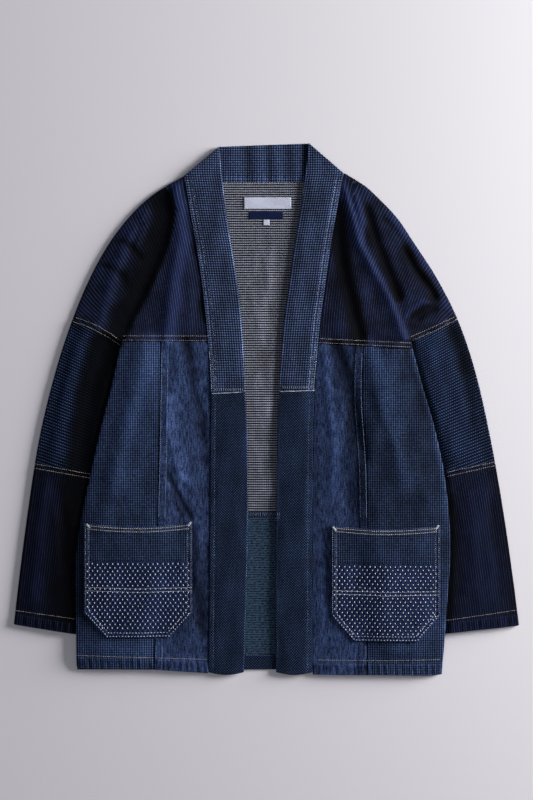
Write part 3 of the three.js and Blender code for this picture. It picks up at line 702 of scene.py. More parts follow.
class Maker:
    """One procedural material, built node by node."""

    def __init__(self, name):
        self.material = bpy.data.materials.new(name)
        self.material.use_nodes = True
        self.tree = self.material.node_tree
        self.u = self.node("SeparateXYZ", [self.node("UVMap", uv_map=CLOTH_MAP)])
        self.v = Term(self, self.u.socket.node.outputs[1])

    def fill(self, node, inputs):
        for key, value in inputs.items():
            if isinstance(value, Term):
                self.tree.links.new(value.socket, node.inputs[key])
            else:
                node.inputs[key].default_value = value

    def node(self, kind, inputs=(), out=0, **settings):
        """One output of a new node, with its inputs in order or by their keys."""
        node = self.tree.nodes.new("ShaderNode" + kind)
        for key, value in settings.items():
            setattr(node, key, value)
        self.fill(node, inputs if isinstance(inputs, dict) else dict(enumerate(inputs)))
        return Term(self, node.outputs[out])

    def math(self, operation, *values):
        return self.node("Math", values, operation=operation)

    def attribute(self, name):
        return self.node("Attribute", out="Fac", attribute_name=name)

    def ramp(self, *values):
        """A smooth rise of a value, from where it starts to where it ends, and from low to high."""
        return self.node("MapRange", values, interpolation_type="SMOOTHSTEP")

    def noise(self, u_size, v_size, seed=0.0, detail=2.0, rough=0.5):
        """Noise from 0 to 1 with features of these sizes in millimetres."""
        place = self.node("CombineXYZ", [self.u / u_size, self.v / v_size, seed])
        inputs = {"Vector": place, "Scale": 1.0, "Detail": detail, "Roughness": rough}
        return self.node("TexNoise", inputs)

    def stripe(self, place, period, share=0.5, soft=0.35):
        """1 on the middle of each stripe and 0 between."""
        away = self.math("ABSOLUTE", self.math("FRACT", place / period) - 0.5) * 2
        return self.ramp(away, share + soft, max(share - soft, 0), 0.0, 1.0)

    def mix(self, share, first, second):
        return self.node("Mix", {0: share, 6: first, 7: second}, 2, data_type="RGBA")

    def scaled(self, tint, factor):
        tint = tint if isinstance(tint, Term) else tint[:3]
        return self.node("VectorMath", {0: tint, 3: factor}, operation="SCALE")

    def plus(self, first, second):
        return self.node("VectorMath", [first, second], operation="ADD")

    def finish(self, tint, height, rough=0.9, depth=0.25):
        grain = self.noise(0.9, 0.9, 7.0, 1.0)
        relief = {"Strength": 0.6, "Distance": depth * MM, "Height": height + grain * 0.25}
        self.fill(self.tree.nodes["Principled BSDF"], {
            "Base Color": tint, "Roughness": grain * 0.14 + (rough - 0.07), "Sheen Weight": 0.015,
            "Sheen Roughness": 0.4, "Specular IOR Level": 0.08, "Normal": self.node("Bump", relief),
        })
        return self.material


def threads_with_painted_shade(maker, dark, light, pattern, patch=0.35, fold=3.2, ridge=0.6, highlight_tint=colour(12, 19, 38)):
    """Threads of two colours, unevenly faded and paler where the edges wear, with painted shade darkening
    them in folds and a painted highlight, tinted blue, on ridges.
    """
    broad = maker.noise(46, 60, 3.0, 3.0, 0.6)
    fine = maker.noise(9, 12, 5.0, 2.0, 0.6)
    tint = maker.mix(pattern, dark, light)
    level = (broad - 0.5) * patch * 1.6 + (fine - 0.5) * patch * 0.9 + 1.0
    tone = maker.attribute("tone")
    wear = maker.attribute("wear")
    # Painted shade darkens the cloth in folds; a painted highlight with a blue tint pales it on ridges
    shade = maker.math("POWER", fold, maker.math("MINIMUM", tone, 0.0))
    raised = maker.math("MAXIMUM", tone, 0.0)
    body = maker.scaled(tint, level * shade * (raised * ridge + 1.0) * (wear * 0.9 + 1.0))
    return maker.plus(body, maker.scaled(highlight_tint, raised))


def waffle_material():
    m = Maker("waffle weave")
    upright = m.stripe(m.u, 3.6, 0.4)
    level = m.stripe(m.v, 3.7, 0.4)
    uneven = m.noise(3.5, 3, 2.0) * 1.5 + 0.1
    pattern = (upright * level * 0.9 + (level * 0.16 + upright * 0.1)) * uneven
    tint = threads_with_painted_shade(m, colour(6, 12, 31), colour(96, 116, 159), pattern, 0.5)
    return m.finish(tint, pattern, 0.9, 0.35)


DIAGONAL = 0.7071


def birdseye_material(name, dark, light):
    m = Maker(name)
    rows = m.stripe((m.u - m.v) * DIAGONAL, 2.75, 0.18, 0.24)
    dots = m.stripe((m.u + m.v) * DIAGONAL, 2.95, 0.22, 0.26)
    pattern = rows * (dots * 0.95 + 0.05) * (m.noise(3, 3, 2.0) * 2.6 - 0.1)
    tint = threads_with_painted_shade(m, dark, light, pattern, 0.25)
    return m.finish(tint, pattern, 0.9, 0.3)


def grid_material():
    m = Maker("grid weave")
    upright = m.stripe(m.u, 3.45, 0.3) * (m.noise(3, 10, 1.0) * 1.0 + 0.35)
    level = m.stripe(m.v, 3.55, 0.3) * (m.noise(10, 3, 2.0) * 0.9 + 0.15)
    broken = m.noise(2.6, 4, 8.0, 1.0) * 2.2 - 0.1
    pattern = (upright * 0.5 + level * 0.34 + upright * level * 1.0) * broken
    tint = threads_with_painted_shade(m, colour(5, 12, 30), colour(70, 90, 130), pattern, 0.3)
    return m.finish(tint, pattern, 0.9, 0.3)


def denim_material():
    m = Maker("plain denim")
    slub = m.noise(1.9, 13, 1.0, 1.0, 0.6)
    weft = m.noise(3.2, 1.9, 2.0, 1.0, 0.6)
    twill = m.stripe(m.u + m.v * 0.8, 4.3, 0.4) * m.noise(7, 7, 9.0)
    cloud = m.noise(14, 30, 4.0, 2.0, 0.5)
    pattern = slub * 2.4 + weft * 1.5 + twill * 0.35 + (cloud - 0.5) * 0.3 - 1.57
    tint = threads_with_painted_shade(m, colour(14, 23, 48), colour(57, 74, 113), pattern, 0.25, 3.2, 0.35)
    return m.finish(tint, slub * 0.5 + twill * 0.5, 0.88, 0.25)


def pinstripe_material():
    m = Maker("pinstripe")
    line = m.stripe(m.u, 3.95, 0.1, 0.2)
    light = m.mix(m.stripe(m.u, 7.9, 0.5, 0.1), colour(48, 60, 100), colour(70, 70, 80))
    thread = m.noise(2, 8, 1.0, 2.0, 0.6) * 1.7 - 0.1
    pattern = line * thread + m.noise(1.2, 5, 2.0) * 0.1
    tint = threads_with_painted_shade(m, colour(2, 9, 32), light, pattern, 0.35, 9.0, 0.4, colour(8, 17, 42))
    return m.finish(tint, pattern, 0.9, 0.3)


def sleeve_weave_material():
    m = Maker("sleeve weave")
    line = m.stripe(m.v - m.u * 0.14, 4.3, 0.26, 0.3)
    dots = m.stripe(m.u + m.v * 0.6, 3.7, 0.34, 0.3) * 0.85 + 0.15
    pattern = line * dots * (m.noise(3, 3, 1.0) * 2.8 - 0.1)
    tint = threads_with_painted_shade(m, colour(2, 4, 15), colour(60, 83, 128), pattern, 0.35, 11.0, 0.35, colour(6, 12, 28))
    return m.finish(tint, pattern, 0.9, 0.3)


def sleeve_stripe_material():
    m = Maker("sleeve stripe")
    line = m.stripe(m.u, 3.55, 0.1, 0.2)
    light = m.mix(m.stripe(m.u, 7.1, 0.5, 0.1), colour(23, 34, 72), colour(39, 42, 52))
    pattern = line * (m.noise(2, 14, 1.0, 2.0) * 2.8 - 0.3) + m.noise(1.2, 6, 2.0) * 0.05
    tint = threads_with_painted_shade(m, colour(1, 3, 17), light, pattern, 0.35, 6.0, 0.4, colour(3, 7, 23))
    return m.finish(tint, pattern, 0.9, 0.3)


def reverse_material():
    m = Maker("striped reverse")
    wander = (m.noise(60, 9, 1.0) - 0.5) * 0.9
    line = m.stripe(m.v + wander, 3.66, 0.44, 0.14)
    rib = m.stripe(m.u, 3.3, 0.5) * 0.5 + 0.5
    pattern = line * (m.noise(5, 2, 2.0) * 0.8 + 0.42) * rib
    tint = threads_with_painted_shade(m, colour(5, 7, 13), colour(169, 173, 191), pattern, 0.3, 2.0, 0.5)
    return m.finish(tint, line, 0.92, 0.35)


def teal_material():
    m = Maker("teal twill")
    rib = m.stripe(m.v, 3.6, 0.35) * 0.6
    pattern = rib + m.noise(4, 2.1, 1.0, 1.0) * 2.2 - 0.82
    tint = threads_with_painted_shade(m, colour(10, 22, 35), colour(62, 84, 108), pattern, 0.3, 2.0, 0.3)
    return m.finish(tint, pattern, 0.9, 0.25)


def sashiko_material():
    m = Maker("sashiko patch")
    across, down = m.u / 7.4, m.v / 10.6
    lattice = m.math("MAXIMUM", m.stripe(across + down, 1.0, 0.3), m.stripe(across - down, 1.0, 0.3))
    pattern = lattice * (m.noise(3, 3, 1.0) * 1.4 + 0.1) + m.noise(1.4, 1.4, 2.0) * 0.5 - 0.1
    tint = threads_with_painted_shade(m, colour(4, 9, 26), colour(38, 53, 93), pattern, 0.3)
    return m.finish(tint, pattern, 0.9, 0.3)


def strip_material():
    m = Maker("overlocked strip")
    loop = m.stripe(m.u, 3.6, 0.3) * m.stripe(m.v, 9, 0.8)
    tint = threads_with_painted_shade(m, colour(13, 19, 36), colour(80, 90, 116), loop * 0.6, 0.3)
    return m.finish(tint, loop, 0.9, 0.3)


def label_material(name, dark, light):
    m = Maker(name)
    weave = m.stripe(m.u, 0.8, 0.5) * 0.5 + m.stripe(m.v, 0.7, 0.5) * 0.5
    tint = threads_with_painted_shade(m, dark, light, weave, 0.08, 1.2, 0.1)
    return m.finish(tint, weave, 0.6, 0.1)


def thread_material(name, dark, light):
    m = Maker(name)
    twist = m.stripe(m.u + m.v * 2, 0.7, 0.5)
    tint = m.mix(m.attribute("tone"), dark, light)
    return m.finish(tint, twist, 0.75, 0.08)


MATERIALS = {
    "waffle_weave": waffle_material(),
    "birdseye_twill": birdseye_material("bird's-eye twill", colour(2, 10, 29), colour(100, 126, 174)),
    "grid_weave": grid_material(),
    "plain_denim": denim_material(),
    "pinstripe": pinstripe_material(),
    "sleeve_weave": sleeve_weave_material(),
    "sleeve_stripe": sleeve_stripe_material(),
    "striped_reverse": reverse_material(),
    "teal_twill": teal_material(),
    "sashiko_patch": sashiko_material(),
    "overlock_strip": strip_material(),
    "pale_label": label_material("pale label", colour(176, 182, 206), colour(208, 213, 230)),
    "navy_label": label_material("navy label", colour(10, 18, 44), colour(20, 32, 70)),
}
THREADS = {
    "white": thread_material("white thread", colour(84, 96, 128), colour(212, 216, 226)),
    "gold": thread_material("ecru thread", colour(96, 94, 98), colour(196, 188, 176)),
    "blue": thread_material("blue thread", colour(52, 66, 98), colour(112, 128, 162)),
}


def dress(obj, node, slot):
    """Puts a cloth's material on a piece, hangs it from the root and hides the model's part named node."""
    obj.data.materials.append(MATERIALS[slot])
    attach(obj, "root")
    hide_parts(node)
    return obj


# Back


def back_edge(side, drop):
    x_armpit = body_side[side](ARMPIT[side][2] - SEAM_GAP)
    seam_start = ARMPIT[side][0] - SEAM_GAP
    seam_end = ARMPIT[side][2] - SEAM_GAP
    inset = SIGN[side] * BACK_INSET
    start = outline[side](seam_start) - inset
    t = np.clip((drop - seam_start) / (seam_end - seam_start), 0, 1)
    low = body_side[side](drop) - inset
    high = outline[side](drop) - inset
    return np.where(drop <= seam_start, high, np.where(drop <= seam_end, lerp(start, x_armpit, t), low))


# Columns of the back, closer together at its sides and where it shows between the fronts
BACK_COLUMNS = np.concatenate([
    [0, 0.0015, 0.004, 0.008], np.linspace(0.012, 0.36, 42), np.linspace(0.36, 0.6, 55)[1:],
    np.linspace(0.6, 0.988, 46)[1:], [0.992, 0.996, 0.9985, 1],
])


def back_piece(name, slot, top, bottom, spacing, low, wall, inset=0.0):
    drops = lerp(top, bottom, steps(bottom - top, spacing))[:, None]
    left = back_edge("left", drops) + inset
    right = back_edge("right", drops) - inset
    x = lerp(left, right, BACK_COLUMNS[None, :])
    drop = drops + np.zeros(x.shape)
    relief = back_relief(x, drop)
    thick = wall + (np.maximum(relief, 0) if slot in ("striped_reverse", "teal_twill") else 0)
    # The back's folds paint shade and highlight on it by their height
    return cloth(name, slot, x, drop, low(x, drop), thick, x, drop, shade_by_height(relief * 1.2))


def over_back(x, drop):
    return sleeve_lift(x, drop) + CLOTH + LAID_GAP * 0.6


back_upper = back_piece(
    "back_upper", "striped_reverse", NECK_DROP, BACK_SEAM - SEAM_GAP / 2, 4.5, sleeve_lift, CLOTH)
back_lower = back_piece(
    "back_lower", "teal_twill", BACK_SEAM + SEAM_GAP / 2, BACK_HEM, 4.5, sleeve_lift, CLOTH)
back_seam_allowance = back_piece(
    "back_seam_allowance", "overlock_strip", *STRIP, 1.5, over_back, STRIP_CLOTH, 4)
back_hem = back_piece("back_hem", "birdseye_twill", *HEM_STRIP, 2.5, over_back, STRIP_CLOTH, 4)


def make_label(name, slot):
    left, right, top, bottom = LABELS[name]
    us = steps(right - left, 2.0)[None, :]
    vs = steps(bottom - top, 1.5)[:, None]
    x = lerp(left, right, us) + 0 * vs
    drop = lerp(top, bottom, vs) + 0 * us
    curl = 0.25 * np.sin(x / 9 + 1) * np.sin(drop / 5) + 0.25
    low = sleeve_lift(x, drop) + CLOTH + SEAM_GAP * 0.7
    # The label's curl paints shade on it
    return cloth(name, slot, x, drop, low, LABEL_CLOTH * 0.7 + curl, x, drop, shade_by_height(curl - 0.25))


label_main = make_label("label_main", "pale_label")
label_second = make_label("label_second", "navy_label")
label_size = make_label("label_size", "pale_label")

# Yokes

# Shares of a yoke's outer edge at which the sleeve's seam and the armpit come
YOKE_CORNER = 0.7
YOKE_ARMPIT = 0.94


def yoke_edge(side, v):
    top = COLLAR_FOLD[side][0] + SEAM_GAP
    armpit = ARMPIT[side]
    seam_drop = armpit[0] - SEAM_GAP
    armpit_drop = armpit[2] - SEAM_GAP
    if v <= YOKE_CORNER:
        drop = lerp(top, seam_drop, v / YOKE_CORNER)
        return float(outline[side](drop)), drop
    if v <= YOKE_ARMPIT:
        t = (v - YOKE_CORNER) / (YOKE_ARMPIT - YOKE_CORNER)
        return lerp(float(outline[side](seam_drop)), armpit[1], t), lerp(seam_drop, armpit_drop, t)
    t = (v - YOKE_ARMPIT) / (1 - YOKE_ARMPIT)
    end_drop = float(yoke_seam(armpit[1])) - SEAM_GAP / 2
    return lerp(armpit[1], float(body_side[side](end_drop)), t), lerp(armpit_drop, end_drop, t)


# Rows of drop and x of the fold and the trough where a yoke's stripes turn, and their lean in degrees
LEAN = {
    "left": {"fold": [(40, -148), (75, -146), (98, -136), (138, -142), (158, -148), (210, -172),
                      (266, -202), (300, -216)],
             "trough": [(40, -170), (98, -164), (158, -178), (210, -202), (300, -246)],
             "middle": 70, "outer": [(60, 66), (110, 63), (198, 50), (255, 30), (300, 26)]},
    "right": {"fold": [(60, 131), (138, 130), (149, 128), (188, 157), (226, 186), (271, 205), (310, 213)],
              "trough": [(60, 165), (150, 197), (198, 218), (225, 240), (240, 250), (300, 262)],
              "middle": 66, "outer": [(60, 64), (108, 62), (160, 55), (235, 40), (262, 27), (300, 26)]},
}
FIELD_STEP = 2.5
FIELD_ROUNDS = 500
FIELD_X = (55, 300)
FIELD_DROP = (38, 322)


def stripe_field(side):
    """Distance across the stripes of a yoke on a grid: the field whose slope is nearest to the wanted
    lean of the stripes, held loosely along the folds where the cloth turns over."""
    sign = SIGN[side]
    lean = LEAN[side]
    xs = sign * np.arange(*FIELD_X, FIELD_STEP)
    drops = np.arange(*FIELD_DROP, FIELD_STEP)
    x, drop = np.meshgrid(xs, drops)

    def line(name):
        return np.interp(drop, [row[0] for row in lean[name]], [row[1] for row in lean[name]])

    past_fold = smoothstep((sign * (x - line("fold")) + 1.5) / 3)
    past_trough = smoothstep((sign * (x - line("trough")) + 14) / 28)
    angle = lerp(lerp(90, lean["middle"], past_fold), line("outer"), past_trough)
    wanted_out = np.sin(np.radians(angle))
    wanted_drop = np.cos(np.radians(angle))
    held = 1 - 0.97 * hump(x - line("fold"), 3)
    held = held * (1 - 0.4 * hump(x - line("trough"), 9))
    held_x = 0.5 * (held[:, 1:] + held[:, :-1])
    held_drop = 0.5 * (held[1:] + held[:-1])

    def gather(flow_x, flow_drop):
        out = np.zeros(x.shape)
        out[:, :-1] -= flow_x
        out[:, 1:] += flow_x
        out[:-1] -= flow_drop
        out[1:] += flow_drop
        return out

    def apply(field):
        return gather(held_x * np.diff(field, axis=1), held_drop * np.diff(field, axis=0))

    goal_x = held_x * 0.5 * (wanted_out[:, 1:] + wanted_out[:, :-1]) * FIELD_STEP
    goal_drop = held_drop * 0.5 * (wanted_drop[1:] + wanted_drop[:-1]) * FIELD_STEP
    goal = gather(goal_x, goal_drop)
    field = np.abs(x)
    rest = goal - apply(field)
    heading = rest.copy()
    size = float((rest * rest).sum())
    for _ in range(FIELD_ROUNDS):
        moved = apply(heading)
        share = size / float((heading * moved).sum())
        field = field + share * heading
        rest = rest - share * moved
        now = float((rest * rest).sum())
        if now < 1e-9:
            break
        heading = rest + now / size * heading
        size = now
    return field


def yoke_stripes(side, x, drop):
    field = stripe_field(side)
    i = np.clip((np.abs(x) - FIELD_X[0]) / FIELD_STEP, 0, field.shape[1] - 1.001)
    j = np.clip((drop - FIELD_DROP[0]) / FIELD_STEP, 0, field.shape[0] - 1.001)
    ci, cj = i.astype(int), j.astype(int)
    fi, fj = i - ci, j - cj
    upper = lerp(field[cj, ci], field[cj, ci + 1], fi)
    lower = lerp(field[cj + 1, ci], field[cj + 1, ci + 1], fi)
    return lerp(upper, lower, fj)


def yoke_places(side, us, vs):
    top = COLLAR_FOLD[side][0] + SEAM_GAP
    inset = SIGN[side] * SEAM_GAP / 2
    inner_end = float(yoke_seam(band_outer[side](YOKE_SEAM[1][1]) + inset)) - SEAM_GAP / 2
    edge = np.array([yoke_edge(side, v) for v in vs])
    inner_drop = lerp(top, inner_end, vs)
    inner_x = band_outer[side](inner_drop) + inset
    u = us[None, :]
    return lerp(edge[:, :1], inner_x[:, None], u), lerp(edge[:, 1:], inner_drop[:, None], u)


def make_yoke(side):
    us = steps(150, 1.9)
    shoulder = np.linspace(0, YOKE_CORNER, 86)
    seam = np.linspace(YOKE_CORNER, YOKE_ARMPIT, 30)[1:]
    last = lerp(YOKE_ARMPIT, 1, steps(14, 2.0, False, True))[1:]
    vs = np.concatenate([[0, 0.001, 0.0035], shoulder[1:], seam, last])
    x, drop = yoke_places(side, us, vs)
    relief = body_relief(x, drop)
    low = front_low(x, drop, relief)
    # Painted shade and highlight by the folds' height, with the patches
    tone = shade_by_height(relief) + fold_shade_and_patches(x, drop)
    wear = 0.25 * hump(yoke_seam(x) - drop - FELL, 2.5)
    stripes = yoke_stripes(side, x, drop)
    wall = yoke_wall(x, drop)
    return cloth(f"yoke_{side}", "pinstripe", x, drop, low, wall, stripes, drop, tone, wear)


# Fronts

# Distances above the hem, in millimetres, at which a front has rows
HEM_ROWS = [18.5, 17, 16.2, 15.4, 14.6, 13.6, 12, 10, 8, 6, 4, 1.8, 0.9, 0.3, 0]


def make_front(name, side, outer, inner, slot, columns):
    inset = SIGN[side] * SEAM_GAP / 2
    us = columns[None, :]
    tail = 1 - 0.03 * np.array(HEM_ROWS) / HEM
    vs = np.concatenate([[0, 0.0006, 0.0018, 0.0036], np.linspace(0.007, 0.955, 178), tail])
    vs = np.unique(np.round(vs, 6))[:, None]
    start = ARMPIT[side][2]
    first = lerp(float(yoke_seam(outer(start))), float(yoke_seam(inner(start))), us)
    nominal = lerp(first, FRONT_HEM[-2][1], vs)
    x = lerp(outer(nominal) - inset, inner(nominal) + inset, us)
    drop = lerp(yoke_seam(x) + SEAM_GAP / 2, front_hem(x), vs)
    relief = body_relief(x, drop)
    low = front_low(x, drop, relief)
    hem = front_hem(x) - drop
    edge = hump(edge_distance(x, drop), 4) + 0.7 * hump(hem, 2.2)
    rope = np.clip(pucker(x + 0.12 * hem, hem - HEM / 2, HEM / 1.5, 0.8, 9), -1, 0.9) - 0.1
    # Painted shade and highlight by the folds' height, with the hem marks and the patches
    tone = shade_by_height(relief * 0.8) + np.where(hem < HEM, rope, 0) + fold_shade_and_patches(x, drop)
    inward = np.abs(of_sides(front_seam, x, drop)) - np.abs(x)
    strip = step_between(inward, 0.2, FRONT_FELL, 0.8)
    ladder = np.sin(drop * 0.83 + 0.9 * np.sin(drop / 9.0))
    tone = tone - 0.9 * hump(inward + 0.6, 1.3) - strip * (0.22 - 0.25 * ladder)
    tone = tone - 0.5 * hump(inward - FRONT_FELL - 1.2, 1.3)
    return cloth(name, slot, x, drop, low, front_wall(x, drop), x, drop, tone, 0.35 * edge)


def make_fronts(side):
    ladder = np.array([1.2, 6.5, 8.6, 9.8, 10.8, 11.5, 12.4, 13.4]) / 76
    centre_columns = np.unique(np.round(np.concatenate([steps(76, 2.4), ladder]), 5))
    outer = make_front(f"side_front_{side}", side, body_side[side], front_seam[side], "grid_weave",
                       steps(115, 2.5))
    inner = make_front(f"centre_front_{side}", side, front_seam[side], band_outer[side], "plain_denim",
                       centre_columns)
    return outer, inner


# Collar and bands


def band_grid(side, us, outer_drop, inner_drop):
    inset = SIGN[side] * SEAM_GAP / 2
    outer_x = band_outer[side](outer_drop) - inset
    inner_x = band_inner[side](inner_drop)
    return lerp(outer_x, inner_x, us), lerp(outer_drop, inner_drop, us)


def band_shades(x, drop):
    """Painted shade of a band's waves, and the paler wear of its edges."""
    from_outer, from_inner = across_band(x, drop)
    edge = 1.7 * hump(from_inner, 1.7) + by_side(x, 0.45, 0.7) * hump(from_outer - 6, 4.2)
    edge = edge * (0.8 + 0.5 * np.sin(drop / 3.1) * np.sin(drop / 7.3 + 1))
    return shade_by_height(band_waves(x, drop)), edge


def make_collar(side):
    outer_fold, _, inner_fold = COLLAR_FOLD[side]
    us = steps(54, 1.6)[None, :]
    vs = steps(330, 2.2)[:, None]
    end = COLLAR_END - SEAM_GAP / 2
    x, drop = band_grid(side, us, lerp(outer_fold, end, vs), lerp(inner_fold, end, vs))
    from_outer, _ = across_band(x, drop)
    return cloth(f"collar_{side}", "waffle_weave", x, drop, collar_low(drop), band_wall(x, drop),
                 from_outer, drop * 1.02, *band_shades(x, drop))


def make_band(side):
    us = steps(54, 1.6)[None, :]
    vs = steps(422, 2.4)[:, None]
    drop = lerp(COLLAR_END + SEAM_GAP / 2, BAND_END + BAND_END_SAG * np.sin(math.pi * us), vs)
    x = lerp(band_outer[side](drop) - SIGN[side] * SEAM_GAP / 2, band_inner[side](drop), us)
    return cloth(f"band_{side}", "birdseye_twill", x, drop, CLOTH + HOLLOW, band_wall(x, drop),
                 x, drop, *band_shades(x, drop))


def collar_top_drop(x):
    left, right = COLLAR_FOLD["left"], COLLAR_FOLD["right"]
    ends = [float(band_outer[side](COLLAR_FOLD[side][0])) for side in SIGN]
    xs = [ends[0], left[1], right[1], ends[1]]
    return np.interp(x, xs, [left[0], left[2], right[2], right[0]])


def ribs(x, drop):
    """Upright folds of the collar round the back of the neck, as middle, half width and height."""
    rows = [(-46, 9, 0.35), (-27, 6, -0.4), (-10, 8, 0.45), (4, 4, -0.35), (17, 7, 0.4),
            (34, 6, -0.3), (47, 6, 0.3), (60, 6, -0.7)]
    return sum(height * hump(x - middle - 0.06 * (drop - 30), width) for middle, width, height in rows)


def collar_back_wall(x, drop):
    from_neck = NECK_DROP - drop
    swell = 0.5 * np.sin(np.clip(from_neck / 50, 0, 1) * math.pi)
    ripple = pucker(x, from_neck - 7, 9, 0.2, 7)
    relief = np.clip(ribs(x, drop) + swell + ripple, -0.6, 0.9)
    return COLLAR_CLOTH + relief * fade((np.abs(x + 3) - 60) / 10)


def make_collar_back():
    middle = np.linspace(-70, 64, 84)
    xs = np.concatenate([np.linspace(-118, -70, 16)[:-1], middle, np.linspace(64, 112, 16)[1:]])
    vs = steps(50, 1.9)[:, None]
    x = xs[None, :] + 0 * vs
    top = collar_top_drop(x)
    drop = lerp(top, NECK_DROP - SEAM_GAP, vs)
    wear = 0.6 * hump(NECK_DROP - drop - 5, 4) + 0.4 * hump(drop - top, 3)
    # Painted shade in the troughs between the collar's ribs and painted highlight on them
    tone = ribs(x, drop) * 1.3
    return cloth("collar_back", "waffle_weave", x, drop, 0, collar_back_wall(x, drop), x, drop, tone, wear)


# Sleeves


def sleeve_section(side):
    rows = [(index, *row) for index, row in enumerate(SLEEVES[side])]
    return smooth_line(rows, 1), smooth_line(rows, 2), smooth_line(rows, 3)


CUFF_HEM = 15.0
# Distances above a cuff's edge, in millimetres, at which it has rows
CUFF_ROWS = [4.5, 7, 9, 11, 13, 13.8, 14.6, 15.4, 16.2]
SLEEVE_LENGTH = 224.0
UNDER_COLUMNS = np.linspace(0, 1, 20)
OVER_COLUMNS = np.concatenate([[0], np.linspace(0.004, 0.72, 66), np.linspace(0.76, 1, 8)])[::-1]
SLEEVE_FELL_RISE = 0.6
TURN = 8
# How far the weave of the underside and of the next piece is moved on, so that none repeats
BACK_WEAVE_SHIFT = 400
WEAVE_SHIFT = 500
# Reach and amount of the painted shadow that the body casts on the sleeve beside it
BODY_PAINTED_SHADOW = {"left": (92, 1.45), "right": (16, 0.5)}


def make_sleeve(side, name, slot, first, last, cuffed):
    """A flat tube between two sections of a sleeve, with an outer and an inner skin."""
    outer_line, inner_x, inner_line = sleeve_section(side)
    length = SLEEVE_LENGTH
    spacing = steps(length, 2.6)
    if cuffed:
        extra = 1 - np.array(CUFF_ROWS) / length
        spacing = np.unique(np.round(np.concatenate([spacing, extra]), 5))
    index = lerp(first, last, spacing)[:, None]
    nudge = lerp(SEAM_GAP / 2, -SEAM_GAP / 2, spacing)[:, None]
    start_drop = outer_line(index) + nudge
    start_x = outline[side](start_drop)
    end_x, end_drop = inner_x(index), inner_line(index) + nudge
    width = np.hypot(end_x - start_x, end_drop - start_drop)
    radius = SLEEVE_HEIGHT / 2
    angles = math.pi * (np.arange(1, TURN) / TURN - 0.5)
    back_angles = angles[::-1]
    under, over = UNDER_COLUMNS, OVER_COLUMNS
    flat = width - 2 * radius
    # Once round the tube: place across it, way out, way up, and 1 where folds may raise it
    parts = [
        (radius + flat * under, 0 * under, -1 + 0 * under, 0),
        (width - radius + 0 * angles, np.cos(angles), np.sin(angles), 0),
        (radius + flat * over, 0 * over, 1 + 0 * over, 1),
        (radius + 0 * flat + 0 * angles, -np.cos(back_angles), np.sin(back_angles), 0),
    ]
    along = np.concatenate([part[0] for part in parts], axis=1)
    spread = np.concatenate([part[1] for part in parts])
    height = np.concatenate([part[2] for part in parts])
    rise = np.concatenate([np.full(len(part[1]), part[3]) for part in parts])
    t = along / width
    x = lerp(start_x, end_x, t)
    drop = lerp(start_drop, end_drop, t)
    run = spacing[:, None] * length
    to_end = length - run
    beyond = SIGN[side] * (x - body_side[side](drop))
    relief = sleeve_relief(x, drop, along)
    relief = relief + pucker(along, run if cuffed else to_end, 7, 0.14, 9) * edge_relief(along)
    shown = rise * smoothstep((beyond - 1) / 4)
    thick = CLOTH + shown * SLEEVE_FELL_RISE * step_between(run, OFF_EDGE, FELL)
    if cuffed:
        rope = pucker(along + 0.1 * to_end, to_end - CUFF_HEM / 2, CUFF_HEM / 2, 0.25, 9)
        rope = np.where(to_end < CUFF_HEM, rope, 0)
        thick = thick + shown * (HEM_RISE * step_between(to_end, OFF_EDGE, CUFF_HEM) + rope)
    close = round_over(np.minimum(run, to_end), CLOTH)

    def wall(reach, lift):
        shift = spread * (radius - reach) / width
        px = x + (end_x - start_x) * shift
        pd = drop + (end_drop - start_drop) * shift
        pz = radius + height * (radius - reach) + rise * relief + lift
        return np.stack([px, place_y(pd), pz], axis=-1)

    outside = wall(close, rise * (thick - CLOTH))
    inside = wall(CLOTH - close, 0)
    points = np.concatenate([outside.reshape(-1, 3), inside.reshape(-1, 3)])
    size = x.size
    index = np.arange(size).reshape(x.shape)
    after = np.roll(index, -1, axis=1)
    faces = [np.stack([index[:-1], after[:-1], after[1:], index[1:]], axis=-1).reshape(-1, 4)]
    faces.append((faces[0] + size)[:, ::-1])
    faces.append(np.stack([after[0], index[0], index[0] + size, after[0] + size], axis=-1))
    faces.append(np.stack([index[-1], after[-1], after[-1] + size, index[-1] + size], axis=-1))
    u = along + np.where(height < 0, BACK_WEAVE_SHIFT, 0)
    v = run + WEAVE_SHIFT * first + np.zeros(u.shape)
    uv = np.tile(np.stack([u, v], axis=-1).reshape(-1, 2), (2, 1))
    shade_reach, shade = BODY_PAINTED_SHADOW[side]
    # Painted shade by the folds' height, the body's painted shadow beside it, and the patches
    tone = shade_by_height(relief * 0.8) - fade(beyond / shade_reach) * shade + fold_shade_and_patches(x, drop)
    wear = np.zeros(x.shape)
    if cuffed:
        marks = pucker(along + 0.1 * to_end, to_end - CUFF_HEM / 2, CUFF_HEM / 1.5, 0.9, 9)
        tone = tone + np.where(to_end < CUFF_HEM, np.clip(marks, -1, 1) + 0.45, 0)
        wear = wear + 0.5 * hump(to_end, 2.2)
    values = {"tone": np.tile(np.clip(tone, -1, 1).ravel(), 2), "wear": np.tile(wear.ravel(), 2)}
    return dress(mesh_object(name, points, np.concatenate(faces), uv, values), name, slot)


# Pockets

POCKET_SAG = 5.0
POCKET_HEM = 10
POCKET_FELL = 7
POCKET_STAND = 0.95


def pocket_slant(side, drop):
    """How far the cut corners draw in a pocket's side."""
    _, _, _, cut, bottom, cut_width = POCKETS[side]
    return np.maximum(drop - cut, 0) / (bottom - cut) * cut_width


def from_pocket_side(side, x, drop):
    inner, outer = POCKETS[side][:2]
    slant = pocket_slant(side, drop)
    return np.minimum(SIGN[side] * (outer - x) - slant, SIGN[side] * (x - inner) - slant)


